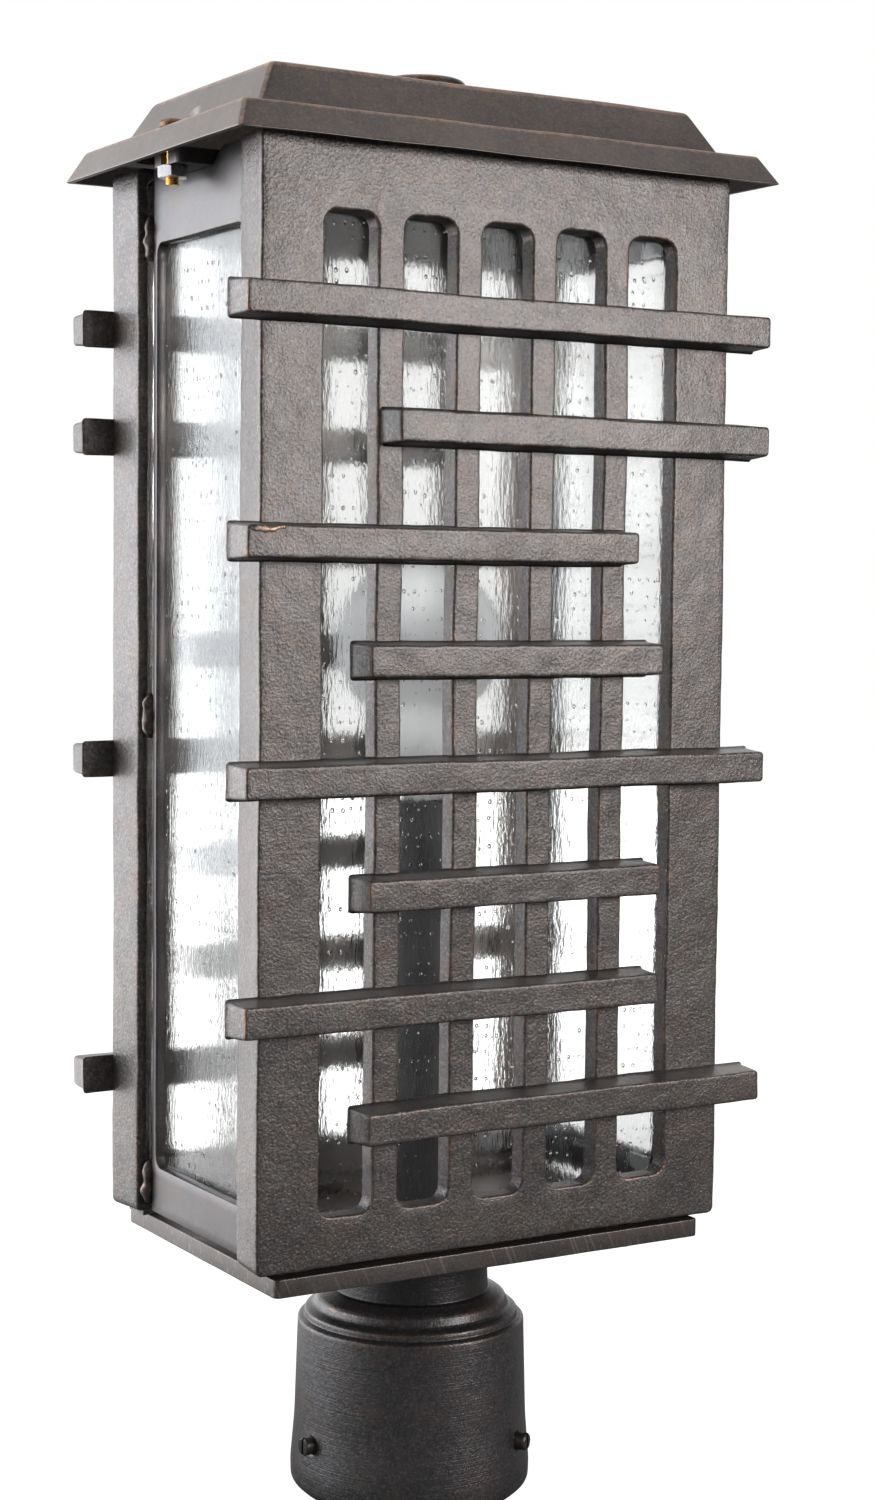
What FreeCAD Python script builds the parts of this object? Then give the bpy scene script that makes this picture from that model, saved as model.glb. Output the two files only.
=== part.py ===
"""Post-top lantern with cast bar panels, modelled at its real size in millimetres.

Origin: centre of the post fitter's mouth. +Z is up, the front panel faces -Y.
A piece on one of the four sides is drawn as if on the front and then turned about Z.
"""
import FreeCAD, Part
import math
import os
import re
import Sketcher

# Driving dimensions
SIZES = {
    # post fitter and its set screws
    "post_diameter": 76.2,
    "post_clearance": 0.4,
    "socket_depth": 52.0,
    "mouth_wall": 1.6,
    "flare_wall": 5.3,
    "flare_height": 8.7,
    "waist_wall": 3.9,
    "waist_height": 26.0,
    "shoulder_wall": 2.8,
    "shoulder_round": 3.4,
    "stop_wall": 5.8,
    "stop_width": 8.0,
    "ring_rise": 3.6,
    "ring_inset": 3.6,
    "cove_rise": 6.6,
    "cove_inset": 6.3,
    "cove_step": 1.6,
    "cone_rise": 6.0,
    "cone_radius": 24.3,
    "neck_radius": 22.0,
    "neck_length": 19.6,
    "neck_wall": 7.0,
    "neck_roof": 7.6,
    "set_screw_diameter": 6.3,
    "set_screw_height": 21.0,
    "set_screw_proud": 4.4,
    "set_screw_setback": 0.3,
    "set_screw_point": 0.9,
    "screw_slot_width": 1.1,
    "screw_slot_depth": 1.4,
    "running_clearance": 0.05,
    # base plate and the screws under it
    "plate_thickness": 6.4,
    "plate_inset": 7.0,
    "plate_corner": 2.0,
    "base_screw_diameter": 4.0,
    "base_screw_head": 8.0,
    "base_screw_head_height": 2.6,
    "base_screw_bite": 4.0,
    "base_screw_spread": 120.0,
    "hole_clearance": 0.1,
    # cast panels
    "body_depth": 118.0,
    "side_margin": 23.0,
    "slot_width": 20.0,
    "mullion_width": 10.0,
    "slot_foot": 18.5,
    "slot_length": 331.5,
    "slot_head": 24.0,
    "slot_corner": 5.0,
    "slot_draft": 0.4,
    "web_thickness": 6.0,
    "foot_gap": 1.6,
    "rim_depth": 18.5,
    "rim_wall": 4.0,
    "edge_draft": 1.9,
    "panel_corner": 2.5,
    "cavity_corner": 3.0,
    "bar_height": 12.0,
    "bar_depth": 12.0,
    "bar_foot": 49.4,
    "bar_head": 55.1,
    "bar_overhang": 11.0,
    "bar_reach_mid": 59.0,
    "bar_reach_short": 48.5,
    "bar_draft": 0.7,
    "bar_corner": 2.2,
    "bar_ease": 0.8,
    # side frames and their welds
    "frame_recess": 6.0,
    "frame_thickness": 4.0,
    "frame_lift": 2.5,
    "stile_width": 3.0,
    "bottom_rail": 16.7,
    "top_rail": 26.7,
    "window_corner": 4.0,
    "notch_depth": 5.5,
    "notch_floor": 21.4,
    "notch_mouth": 37.0,
    "weld_gap": 3.5,
    "weld_length": 16.0,
    "weld_bite": 2.4,
    "weld_foot": 10.0,
    "weld_head": 24.5,
    "weld_bulge": 2.6,
    # glass and its clips
    "glass_thickness": 3.0,
    "glass_lap": 4.5,
    "glass_side_lap": 12.0,
    "clip_sheet": 1.0,
    "clip_width": 12.0,
    "clip_foot": 7.0,
    "clip_tongue": 4.0,
    "clip_clearance": 0.3,
    "clip_end_inset": 16.0,
    "clip_screw_diameter": 3.0,
    "clip_screw_head": 5.4,
    "clip_screw_head_height": 1.6,
    "clip_screw_bite": 2.4,
    # roof, knob and ears
    "skirt_lap": 3.0,
    "skirt_height": 10.3,
    "skirt_lip": 2.2,
    "side_eave": 13.5,
    "front_eave": 12.0,
    "skirt_lean_side": 5.0,
    "skirt_lean_front": 7.0,
    "ledge_side": 9.5,
    "ledge_front": 9.0,
    "hip_rise": 16.3,
    "hip_lean": 9.0,
    "hip_round": 2.0,
    "roof_wall": 4.0,
    "seat_rib": 4.6,
    "seat_rib_length": 150.0,
    "knob_diameter": 32.0,
    "knob_height": 9.4,
    "knob_round": 3.0,
    "knob_screw_diameter": 4.0,
    "knob_screw_head": 8.0,
    "knob_screw_head_height": 2.6,
    "knob_screw_bite": 5.0,
    "ear_width": 20.6,
    "ear_thickness": 5.2,
    "ear_root": 6.0,
    "ear_lip": 3.0,
    "ear_slot_clearance": 0.4,
    "ear_corner": 3.0,
    "roof_screw_diameter": 4.8,
    "roof_screw_head": 9.0,
    "roof_screw_head_height": 3.0,
    "roof_screw_tail": 2.5,
    "roof_screw_relief": 9.0,
    "roof_hole_clearance": 0.15,
    "roof_nut_across": 9.5,
    "roof_nut_height": 4.0,
    # lamp holder and lamp
    "stem_diameter": 9.8,
    "stem_bore": 6.0,
    "stem_tail": 9.0,
    "lock_nut_across": 15.0,
    "lock_nut_height": 4.0,
    "sleeve_diameter": 32.0,
    "sleeve_wall": 1.0,
    "sleeve_height": 152.0,
    "holder_clearance": 0.2,
    "holder_drop": 1.0,
    "holder_height": 46.0,
    "holder_wall": 1.0,
    "holder_floor": 20.0,
    "stem_grip": 8.0,
    "shell_wall": 0.5,
    "shell_height": 24.0,
    "contact_radius": 4.0,
    "contact_height": 3.0,
    "lamp_clearance": 0.3,
    "lamp_base_height": 22.0,
    "lamp_base_wall": 0.6,
    "lamp_eyelet_radius": 4.5,
    "lamp_eyelet_height": 2.0,
    "lamp_insulator_drop": 2.0,
    "lamp_insulator_radius": 8.0,
    "lamp_base_taper": 2.5,
    "lamp_neck_clearance": 0.2,
    "lamp_neck_lap": 8.0,
    "lamp_diameter": 60.0,
    "lamp_rise": 86.0,
    "lamp_glass_wall": 1.0,
    "lamp_waist_bend": 110.0,
    "lamp_waist_angle": 35.0,
    "ground_screw_diameter": 4.0,
    "ground_screw_head": 9.0,
    "ground_screw_head_height": 3.0,
    "ground_screw_place": 55.0,
}
SLOT_COUNT = 5
BAR_COUNT = 8
WELD_ROWS = 3
SET_SCREW_COUNT = 3
FIRST_SET_SCREW_TURN = -85
# Two places closer than this, in millimetres, count as one
SAME_PLACE = 0.01

# Places worked out from the driving dimensions
PLACES = {
    # heights, from the mouth of the fitter upwards
    "shoulder_level": "socket_depth + stop_wall",
    "ring_level": "shoulder_level + ring_rise",
    "cove_level": "ring_level + cove_rise",
    "cone_level": "cove_level + cone_rise",
    "plate_level": "cone_level + neck_length",
    "deck": "plate_level + plate_thickness",
    "slot_low": "deck + slot_foot",
    "slot_high": "slot_low + slot_length",
    "eaves": "slot_high + slot_head",
    "first_bar": "deck + bar_foot",
    "last_bar": "eaves - bar_head",
    "frame_low": "deck + frame_lift",
    "window_low": "frame_low + bottom_rail",
    "window_high": "eaves - top_rail",
    "notch_level": "eaves - notch_depth",
    "skirt_low": "eaves - skirt_lap",
    "ledge": "skirt_low + skirt_height",
    "ledge_under": "ledge - roof_wall",
    "hip_top": "ledge + hip_rise",
    "neck_ceiling": "plate_level - neck_roof",
    "sleeve_top": "deck + sleeve_height",
    "holder_top": "sleeve_top - holder_drop",
    "holder_low": "holder_top - holder_height",
    "holder_seat": "holder_low + holder_floor",
    "contact_top": "holder_seat + contact_height",
    "lamp_base_low": "contact_top + lamp_eyelet_height + lamp_insulator_drop",
    "lamp_base_top": "lamp_base_low + lamp_base_height",
    "lamp_top": "sleeve_top + lamp_rise",
    "lamp_centre": "lamp_top - lamp_radius",
    # distances from the middle of the body
    "bore_radius": "post_diameter / 2 + post_clearance",
    "shoulder_radius": "bore_radius + shoulder_wall",
    "ring_radius": "shoulder_radius - ring_inset",
    "cove_radius": "ring_radius - cove_inset",
    "passage_radius": "neck_radius - neck_wall",
    "panel_width": f"{SLOT_COUNT} * slot_width + {SLOT_COUNT - 1} * mullion_width + 2 * side_margin",
    "panel_half": "panel_width / 2",
    "slots_half": "panel_half - side_margin",
    "face": "body_depth / 2",
    "web_back": "face - web_thickness",
    "rim_end": "face - rim_depth",
    "plate_half": "panel_half - plate_inset",
    "frame_face": "panel_half - frame_recess",
    "frame_back": "frame_face - frame_thickness",
    "frame_half": "rim_end - weld_gap",
    "window_half": "frame_half - stile_width",
    "eave_half_width": "panel_half + side_eave",
    "eave_half_depth": "face + front_eave",
    "ledge_half_width": "eave_half_width - skirt_lean_side",
    "ledge_half_depth": "eave_half_depth - skirt_lean_front",
    "hip_half_width": "ledge_half_width - ledge_side",
    "hip_half_depth": "ledge_half_depth - ledge_front",
    "roof_screw_place": "ledge_half_width - ledge_side / 2",
    "roof_screw_radius": "roof_screw_diameter / 2",
    "stem_radius": "stem_diameter / 2",
    "sleeve_radius": "sleeve_diameter / 2",
    "holder_radius": "sleeve_radius - sleeve_wall - holder_clearance",
    "shell_radius": "holder_radius - holder_wall - hole_clearance",
    "shell_bore": "shell_radius - shell_wall",
    "lamp_base_radius": "shell_bore - lamp_clearance",
    "lamp_neck_radius": "lamp_base_radius - lamp_base_wall - lamp_neck_clearance",
    "lamp_radius": "lamp_diameter / 2",
}

doc = FreeCAD.newDocument("post_lantern")
sheet = doc.addObject("Spreadsheet::Sheet", "Sizes")
for row, (name, size) in enumerate(SIZES.items(), start=1):
    sheet.set(f"A{row}", name)
    sheet.set(f"B{row}", str(size))
    sheet.setAlias(f"B{row}", name)
doc.recompute()
sub_parts = []


def link(formula):
    """Write a formula of plain size and place names as an expression on the sheet's cells."""
    def cell(match):
        word = match.group()
        if word in SIZES:
            return f"Sizes.{word}"
        if word in PLACES:
            return f"({link(PLACES[word])})"
        return word
    return re.sub(r"[a-z_]+", cell, str(formula))


def measure(formula):
    """The number that a formula of sizes and places gives now."""
    return float(sheet.evalExpression(link(formula)))


def new_body(label, turn=0):
    """An empty body for one sub-part, turned about the vertical axis."""
    body = doc.addObject("PartDesign::Body", label)
    body.Label = label
    body.AllowCompound = True
    body.Placement = FreeCAD.Placement(FreeCAD.Vector(), FreeCAD.Rotation(FreeCAD.Vector(0, 0, 1), turn))
    sub_parts.append(body)
    return body


def origin_plane(body, role):
    """One of the body's own origin planes: XY_Plane, XZ_Plane or YZ_Plane."""
    return next(item for item in body.Origin.OriginFeatures if item.Role == role)


def new_sketch(body, role, shift="0"):
    """A sketch on an origin plane, moved along the plane's normal: +Z, -Y or +X."""
    sketch = body.newObject("Sketcher::SketchObject", f"{body.Label}_sketch")
    sketch.AttachmentSupport = (origin_plane(body, role), [""])
    sketch.MapMode = "FlatFace"
    sketch.setExpression("AttachmentOffset.Base.z", link(shift))
    return sketch


def pin_point(sketch, piece, end, across, up):
    """Hold one point of the sketch at a place bound to the sheet."""
    for kind, formula in (("DistanceX", across), ("DistanceY", up)):
        hold = sketch.addConstraint(Sketcher.Constraint(kind, -1, 1, piece, end, measure(formula)))
        sketch.setExpression(f"Constraints[{hold}]", link(formula))


def draw_outline(sketch, corners):
    """Closed outline. A corner is (across, up), or (across, up, radius) to reach it by an arc.

    A positive radius bends the arc to the left of its direction of travel, a negative one to the right.
    """
    first = sketch.GeometryCount
    count = len(corners)
    for step, corner in enumerate(corners):
        before = corners[step - 1]
        start = FreeCAD.Vector(measure(before[0]), measure(before[1]), 0)
        end = FreeCAD.Vector(measure(corner[0]), measure(corner[1]), 0)
        if len(corner) == 2:
            sketch.addGeometry(Part.LineSegment(start, end))
            continue
        bend = measure(corner[2])
        chord = end - start
        left = FreeCAD.Vector(-chord.y, chord.x, 0).normalize()
        rise = abs(bend) - math.sqrt(max(0.0, bend ** 2 - chord.Length ** 2 / 4))
        middle = (start + end) / 2 + left * math.copysign(rise, bend)
        sketch.addGeometry(Part.Arc(start, middle, end))
    for step, corner in enumerate(corners):
        piece = first + step
        following = first + (step + 1) % count
        end = 2 if ends_forward(sketch, piece, corner) else 1
        next_start = 1 if ends_forward(sketch, following, corners[(step + 1) % count]) else 2
        sketch.addConstraint(Sketcher.Constraint("Coincident", piece, end, following, next_start))
        pin_point(sketch, piece, end, corner[0], corner[1])
        if len(corner) == 3:
            size = sketch.addConstraint(Sketcher.Constraint("Radius", piece, abs(measure(corner[2]))))
            sketch.setExpression(f"Constraints[{size}]", link(f"abs({corner[2]})"))


def ends_forward(sketch, piece, corner):
    """Whether the piece's second end is the corner: a sketch stores every arc counter-clockwise."""
    place = FreeCAD.Vector(measure(corner[0]), measure(corner[1]), 0)
    return sketch.getPoint(piece, 2).distanceToPoint(place) < sketch.getPoint(piece, 1).distanceToPoint(place)


def draw_rounded(sketch, left, right, low, high, radius):
    """Rectangle with four equal round corners, as lines joined by tangent quarter circles."""
    x0, x1, y0, y1, r = (measure(formula) for formula in (left, right, low, high, radius))
    line_ends = [
        ((x0 + r, y0), (x1 - r, y0)),
        ((x1, y0 + r), (x1, y1 - r)),
        ((x1 - r, y1), (x0 + r, y1)),
        ((x0, y1 - r), (x0, y0 + r)),
    ]
    centres = [(x1 - r, y0 + r), (x1 - r, y1 - r), (x0 + r, y1 - r), (x0 + r, y0 + r)]
    lines = []
    arcs = []
    for side, ((start, end), centre) in enumerate(zip(line_ends, centres)):
        lines.append(sketch.addGeometry(Part.LineSegment(FreeCAD.Vector(*start, 0), FreeCAD.Vector(*end, 0))))
        circle = Part.Circle(FreeCAD.Vector(*centre, 0), FreeCAD.Vector(0, 0, 1), r)
        opening = math.radians(90 * (side - 1))
        arcs.append(sketch.addGeometry(Part.ArcOfCircle(circle, opening, opening + math.pi / 2)))
    for side in range(4):
        direction = "Horizontal" if side % 2 == 0 else "Vertical"
        sketch.addConstraint(Sketcher.Constraint(direction, lines[side]))
        sketch.addConstraint(Sketcher.Constraint("Tangent", lines[side], 2, arcs[side], 1))
        sketch.addConstraint(Sketcher.Constraint("Tangent", arcs[side], 2, lines[(side + 1) % 4], 1))
        if side > 0:
            sketch.addConstraint(Sketcher.Constraint("Equal", arcs[0], arcs[side]))
    sizes = [
        ("Radius", (arcs[0],), radius),
        ("DistanceX", (-1, 1, lines[3], 1), left),
        ("DistanceX", (-1, 1, lines[1], 1), right),
        ("DistanceY", (-1, 1, lines[0], 1), low),
        ("DistanceY", (-1, 1, lines[2], 1), high),
    ]
    for kind, points, formula in sizes:
        hold = sketch.addConstraint(Sketcher.Constraint(kind, *points, measure(formula)))
        sketch.setExpression(f"Constraints[{hold}]", link(formula))


def draw_circle(sketch, across, up, radius):
    """Circle about a place bound to the sheet."""
    centre = FreeCAD.Vector(measure(across), measure(up), 0)
    piece = sketch.addGeometry(Part.Circle(centre, FreeCAD.Vector(0, 0, 1), measure(radius)))
    pin_point(sketch, piece, 3, across, up)
    size = sketch.addConstraint(Sketcher.Constraint("Radius", piece, measure(radius)))
    sketch.setExpression(f"Constraints[{size}]", link(radius))


def draw_box(sketch, left, right, low, high):
    """Plain rectangle."""
    draw_outline(sketch, [(left, low), (right, low), (right, high), (left, high)])


def extrude(body, sketch, length, kind="Pad", inward=False, lean=None):
    """Pad or pocket a sketch. Inward is against the sketch's normal, lean is the side walls' angle."""
    feature = body.newObject(f"PartDesign::{kind}", f"{body.Label}_{kind.lower()}")
    feature.Profile = sketch
    feature.Reversed = inward if kind == "Pad" else not inward
    feature.setExpression("Length", link(length))
    if lean:
        feature.setExpression("TaperAngle", link(lean))
    doc.recompute()
    return feature


def cut(body, sketch, length, inward=False, lean=None):
    """Pocket that has to take material away."""
    before = body.Shape.Volume
    feature = extrude(body, sketch, length, "Pocket", inward, lean)
    if not body.Shape.Volume < before:
        raise RuntimeError(f"a cut in {body.Label} removed nothing")
    return feature


def turned(label, corners, turn=0, plane="XZ_Plane", shift="0"):
    """Body of revolution from a half section of (radius, distance along the axis) corners.

    The axis is the sketch's upright one: Z on the XZ plane, Y on the XY plane.
    """
    body = new_body(label, turn)
    sketch = new_sketch(body, plane, shift)
    draw_outline(sketch, corners)
    spin = body.newObject("PartDesign::Revolution", f"{label}_spin")
    spin.Profile = sketch
    spin.ReferenceAxis = (sketch, ["V_Axis"])
    spin.Angle = 360
    doc.recompute()
    return body


def ease_edges(body, size, chosen, kind="Fillet"):
    """Fillet or chamfer the edges of the body's last feature that the test picks."""
    base = body.Tip
    picked = [f"Edge{index}" for index, edge in enumerate(base.Shape.Edges, start=1) if chosen(edge)]
    if not picked:
        raise RuntimeError(f"no edge to ease on {body.Label}")
    feature = body.newObject(f"PartDesign::{kind}", f"{body.Label}_{kind.lower()}")
    feature.Base = (base, picked)
    feature.setExpression("Radius" if kind == "Fillet" else "Size", link(size))
    doc.recompute()


def lies_at(edge, axis, place):
    """Whether the whole edge lies in the plane where one coordinate has the given value."""
    box = edge.BoundBox
    low, high = {"y": (box.YMin, box.YMax), "z": (box.ZMin, box.ZMax)}[axis]
    return abs(low - place) < SAME_PLACE and abs(high - place) < SAME_PLACE


def loft(body, kind, low, high):
    """Loft between two level rectangles, each (half width, half depth, height)."""
    sections = []
    for half_width, half_depth, height in (low, high):
        sketch = new_sketch(body, "XY_Plane", height)
        draw_box(sketch, f"-({half_width})", half_width, f"-({half_depth})", half_depth)
        sections.append(sketch)
    feature = body.newObject(f"PartDesign::{kind}", f"{body.Label}_{kind.lower()}")
    feature.Profile = sections[0]
    feature.Sections = [sections[1]]
    feature.Ruled = True
    doc.recompute()


def hex_nut(label, across, low, height, hole):
    """Hexagon nut about the vertical axis."""
    body = new_body(label)
    sketch = new_sketch(body, "XY_Plane", low)
    corner = f"{across} / 2 / cos(30 deg)"
    flat = f"{across} / 2"
    point = f"{corner} / 2"
    draw_outline(sketch, [
        (corner, "0"),
        (point, flat),
        (f"-({point})", flat),
        (f"-({corner})", "0"),
        (f"-({point})", f"-({flat})"),
        (point, f"-({flat})"),
    ])
    draw_circle(sketch, "0", "0", hole)
    extrude(body, sketch, height)
    return body


def repeat_up(body, feature, distance, count):
    """Repeat a feature upwards, evenly, over the given distance."""
    pattern = body.newObject("PartDesign::LinearPattern", f"{body.Label}_rows")
    pattern.Originals = [feature]
    pattern.Direction = (feature.Profile[0], ["N_Axis"])
    pattern.setExpression("Length", link(distance))
    pattern.Occurrences = count
    body.Tip = pattern
    doc.recompute()


def repeat_across(body, feature, distance, count):
    """Repeat a feature along its sketch's level axis, evenly, over the given distance."""
    pattern = body.newObject("PartDesign::LinearPattern", f"{body.Label}_columns")
    pattern.Originals = [feature]
    pattern.Direction = (feature.Profile[0], ["H_Axis"])
    pattern.setExpression("Length", link(distance))
    pattern.Occurrences = count
    body.Tip = pattern
    doc.recompute()


def repeat_around(body, feature, count):
    """Repeat a feature evenly about the body's vertical axis."""
    pattern = body.newObject("PartDesign::PolarPattern", f"{body.Label}_ring")
    pattern.Originals = [feature]
    pattern.Axis = (next(item for item in body.Origin.OriginFeatures if item.Role == "Z_Axis"), [""])
    pattern.Angle = 360
    pattern.Occurrences = count
    body.Tip = pattern
    doc.recompute()


def place_across(body, formula):
    """Move a finished body along X to a place bound to the sheet."""
    body.setExpression("Placement.Base.x", link(formula))
    doc.recompute()


def post_fitter():
    """Cast slip-on cup: flared mouth, tapered wall, stepped shoulder, neck with the stem's hole."""
    body = turned("post_fitter", [
        ("bore_radius", "0"),
        ("bore_radius + mouth_wall", "0"),
        ("bore_radius + flare_wall", "flare_height", "-(flare_height + flare_wall)"),
        ("bore_radius + waist_wall", "waist_height"),
        ("shoulder_radius", "shoulder_level - shoulder_round"),
        ("shoulder_radius - shoulder_round", "shoulder_level", "-shoulder_round"),
        ("ring_radius", "shoulder_level"),
        ("ring_radius", "ring_level"),
        ("cove_radius", "cove_level - cove_step"),
        ("cove_radius", "cove_level"),
        ("cone_radius", "cone_level"),
        ("neck_radius", "cone_level"),
        ("neck_radius", "plate_level"),
        ("stem_radius + hole_clearance", "plate_level"),
        ("stem_radius + hole_clearance", "neck_ceiling"),
        ("passage_radius", "neck_ceiling"),
        ("passage_radius", "cove_level"),
        ("bore_radius - stop_width", "socket_depth + stop_wall / 2"),
        ("bore_radius - stop_width", "socket_depth"),
        ("bore_radius", "socket_depth"),
    ], FIRST_SET_SCREW_TURN)
    hole = new_sketch(body, "XZ_Plane", "bore_radius - post_clearance")
    draw_circle(hole, "0", "set_screw_height", "set_screw_diameter / 2 + running_clearance")
    tapped = cut(body, hole, "flare_wall + post_clearance")
    repeat_around(body, tapped, SET_SCREW_COUNT)


def set_screw(number):
    """Headless slotted screw that clamps the post: cup point inside, slot outside."""
    tip = "bore_radius + set_screw_setback"
    tail = "bore_radius + waist_wall + set_screw_proud"
    radius = "set_screw_diameter / 2"
    turn = FIRST_SET_SCREW_TURN + 360 * (number - 1) / SET_SCREW_COUNT
    body = turned(f"set_screw_{number}", [
        ("0", f"-({tip})"),
        (f"{radius} - set_screw_point", f"-({tip})"),
        (radius, f"-({tip} + set_screw_point)"),
        (radius, f"-({tail} - set_screw_point / 2)"),
        (f"{radius} - set_screw_point / 2", f"-({tail})"),
        ("0", f"-({tail})"),
    ], turn, "XY_Plane", "set_screw_height")
    slot = new_sketch(body, "XZ_Plane", tail)
    draw_box(
        slot, "-screw_slot_width / 2", "screw_slot_width / 2",
        "set_screw_height - set_screw_diameter", "set_screw_height + set_screw_diameter",
    )
    cut(body, slot, "screw_slot_depth", inward=True)


def base_screw_places():
    """Places of the four screws between base plate and panels, two under each panel's rim."""
    places = []
    for side in (-1, 1):
        for end in (-1, 1):
            places.append((f"{side} * base_screw_spread / 2", f"{end} * (web_back + rim_end) / 2"))
    return places


def base_plate():
    """Flat plate between the fitter's neck and the body, drilled for stem, panel screws and ground screw."""
    body = new_body("base_plate")
    sketch = new_sketch(body, "XY_Plane", "plate_level")
    draw_rounded(sketch, "-plate_half", "plate_half", "-face", "face", "plate_corner")
    draw_circle(sketch, "0", "0", "stem_radius + hole_clearance")
    draw_circle(sketch, "ground_screw_place", "0", "ground_screw_diameter / 2 + hole_clearance")
    for across, along in base_screw_places():
        draw_circle(sketch, across, along, "base_screw_diameter / 2 + hole_clearance")
    extrude(body, sketch, "plate_thickness")


def base_screws():
    """Four pan screws up through the base plate into the foot of each panel's rim."""
    body = new_body("base_screws")
    heads = new_sketch(body, "XY_Plane", "plate_level")
    shanks = new_sketch(body, "XY_Plane", "plate_level")
    for across, along in base_screw_places():
        draw_circle(heads, across, along, "base_screw_head / 2")
        draw_circle(shanks, across, along, "base_screw_diameter / 2")
    extrude(body, heads, "base_screw_head_height", inward=True)
    extrude(body, shanks, "plate_thickness + base_screw_bite")


def ground_screw():
    """Pan screw on the base plate, under the glass chamber."""
    body = turned("ground_screw", [
        ("0", "plate_level"),
        ("ground_screw_diameter / 2", "plate_level"),
        ("ground_screw_diameter / 2", "deck"),
        ("ground_screw_head / 2", "deck"),
        ("ground_screw_head / 2", "deck + ground_screw_head_height"),
        ("0", "deck + ground_screw_head_height"),
    ])
    place_across(body, "ground_screw_place")


# Reach of each bar to the left and to the right of the panel's middle, from the lowest bar upwards
BAR_REACHES = [
    ("bar_reach_mid", "panel_half + bar_overhang"),
    ("panel_half + bar_overhang", "bar_reach_mid"),
    ("bar_reach_mid", "bar_reach_mid"),
    ("panel_half + bar_overhang", "panel_half + bar_overhang"),
    ("bar_reach_mid", "bar_reach_mid"),
    ("panel_half + bar_overhang", "bar_reach_short"),
    ("bar_reach_short", "panel_half + bar_overhang"),
    ("panel_half + bar_overhang", "panel_half + bar_overhang"),
]


def cast_panel(label, turn):
    """One sand casting: drafted sides, rim behind, five slots through the web, eight bars in front.

    Only the rim stands on the base plate. The web ends a little above it.
    """
    body = new_body(label, turn)
    block = new_sketch(body, "XY_Plane", "deck + foot_gap")
    draw_outline(block, [
        ("-panel_half", "-face"),
        ("panel_half", "-face"),
        ("panel_half - edge_draft", "-rim_end"),
        ("-(panel_half - edge_draft)", "-rim_end"),
    ])
    extrude(body, block, "eaves - deck - foot_gap")
    ease_edges(body, "panel_corner", is_panel_corner)
    foot = new_sketch(body, "XY_Plane", "deck")
    foot_half = "panel_half - edge_draft - panel_corner"
    draw_box(foot, f"-({foot_half})", foot_half, "-web_back", "-rim_end")
    extrude(body, foot, "foot_gap")

    cavity = new_sketch(body, "XZ_Plane", "rim_end")
    side = "panel_half - edge_draft - rim_wall"
    draw_rounded(cavity, f"-({side})", side, "deck + rim_wall", "eaves - rim_wall", "cavity_corner")
    cut(body, cavity, "rim_depth - web_thickness")

    slot = new_sketch(body, "XZ_Plane", "face")
    draw_rounded(slot, "-slots_half", "-slots_half + slot_width", "slot_low", "slot_high", "slot_corner")
    opening = cut(body, slot, "web_thickness", inward=True, lean="atan(slot_draft / web_thickness)")
    repeat_across(body, opening, f"{SLOT_COUNT - 1} * (slot_width + mullion_width)", SLOT_COUNT)

    screw_holes = new_sketch(body, "XY_Plane", "deck")
    for end in (-1, 1):
        draw_circle(
            screw_holes, f"{end} * base_screw_spread / 2", "-(web_back + rim_end) / 2",
            "base_screw_diameter / 2 + hole_clearance",
        )
    cut(body, screw_holes, "rim_wall")
    clip_holes(body, *PANEL_PANE)

    bars = new_sketch(body, "XZ_Plane", "face")
    for number, (left, right) in enumerate(BAR_REACHES):
        middle = f"(first_bar + {number} * (last_bar - first_bar) / {BAR_COUNT - 1})"
        draw_rounded(
            bars, f"-({left})", right,
            f"{middle} - bar_height / 2", f"{middle} + bar_height / 2", "bar_corner",
        )
    extrude(body, bars, "bar_depth", lean="-atan(bar_draft / bar_depth)")
    front = -measure("face + bar_depth")
    ease_edges(body, "bar_ease", lambda edge: lies_at(edge, "y", front), "Chamfer")


def is_panel_corner(edge):
    """Whether an edge runs from the outer face to the rim's end, at one of the panel's four corners."""
    return edge.BoundBox.YLength > measure("rim_depth") - SAME_PLACE


def side_frame(label, turn):
    """Flat frame with one tall window and a notch for the roof ear in its top edge."""
    body = new_body(label, turn)
    sketch = new_sketch(body, "XZ_Plane", "frame_face")
    draw_outline(sketch, [
        ("-frame_half", "frame_low"),
        ("frame_half", "frame_low"),
        ("frame_half", "eaves"),
        ("notch_mouth / 2", "eaves"),
        ("notch_floor / 2", "notch_level"),
        ("-notch_floor / 2", "notch_level"),
        ("-notch_mouth / 2", "eaves"),
        ("-frame_half", "eaves"),
    ])
    draw_rounded(sketch, "-window_half", "window_half", "window_low", "window_high", "window_corner")
    extrude(body, sketch, "frame_thickness", inward=True)
    clip_holes(body, *SIDE_PANE)


def tack_welds():
    """Short weld beads across the gaps between the side frames and the panel rims, in rows."""
    body = new_body("tack_welds")
    sketch = new_sketch(body, "XY_Plane", "frame_low + weld_foot - weld_length / 2")
    for side in (-1, 1):
        for end in (-1, 1):
            inner = f"{side} * (frame_face - weld_bite)"
            outer = f"{side} * (frame_face + weld_bite)"
            near = f"{end} * frame_half"
            far = f"{end} * rim_end"
            draw_outline(sketch, [
                (inner, near),
                (outer, near),
                (outer, far, f"{-side * end} * weld_bulge"),
                (inner, far),
            ])
    bead = extrude(body, sketch, "weld_length")
    repeat_up(body, bead, "eaves - weld_head - frame_low - weld_foot", WELD_ROWS)


# A pane's seat, half width, lower edge and upper edge: behind a panel's web, and behind a side frame
PANEL_PANE = (
    "web_back",
    "slots_half + glass_side_lap",
    "slot_low - glass_lap",
    "slot_high + glass_lap",
)
SIDE_PANE = (
    "frame_back",
    "window_half + glass_side_lap",
    "window_low - glass_lap",
    "window_high + glass_lap",
)


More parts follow.
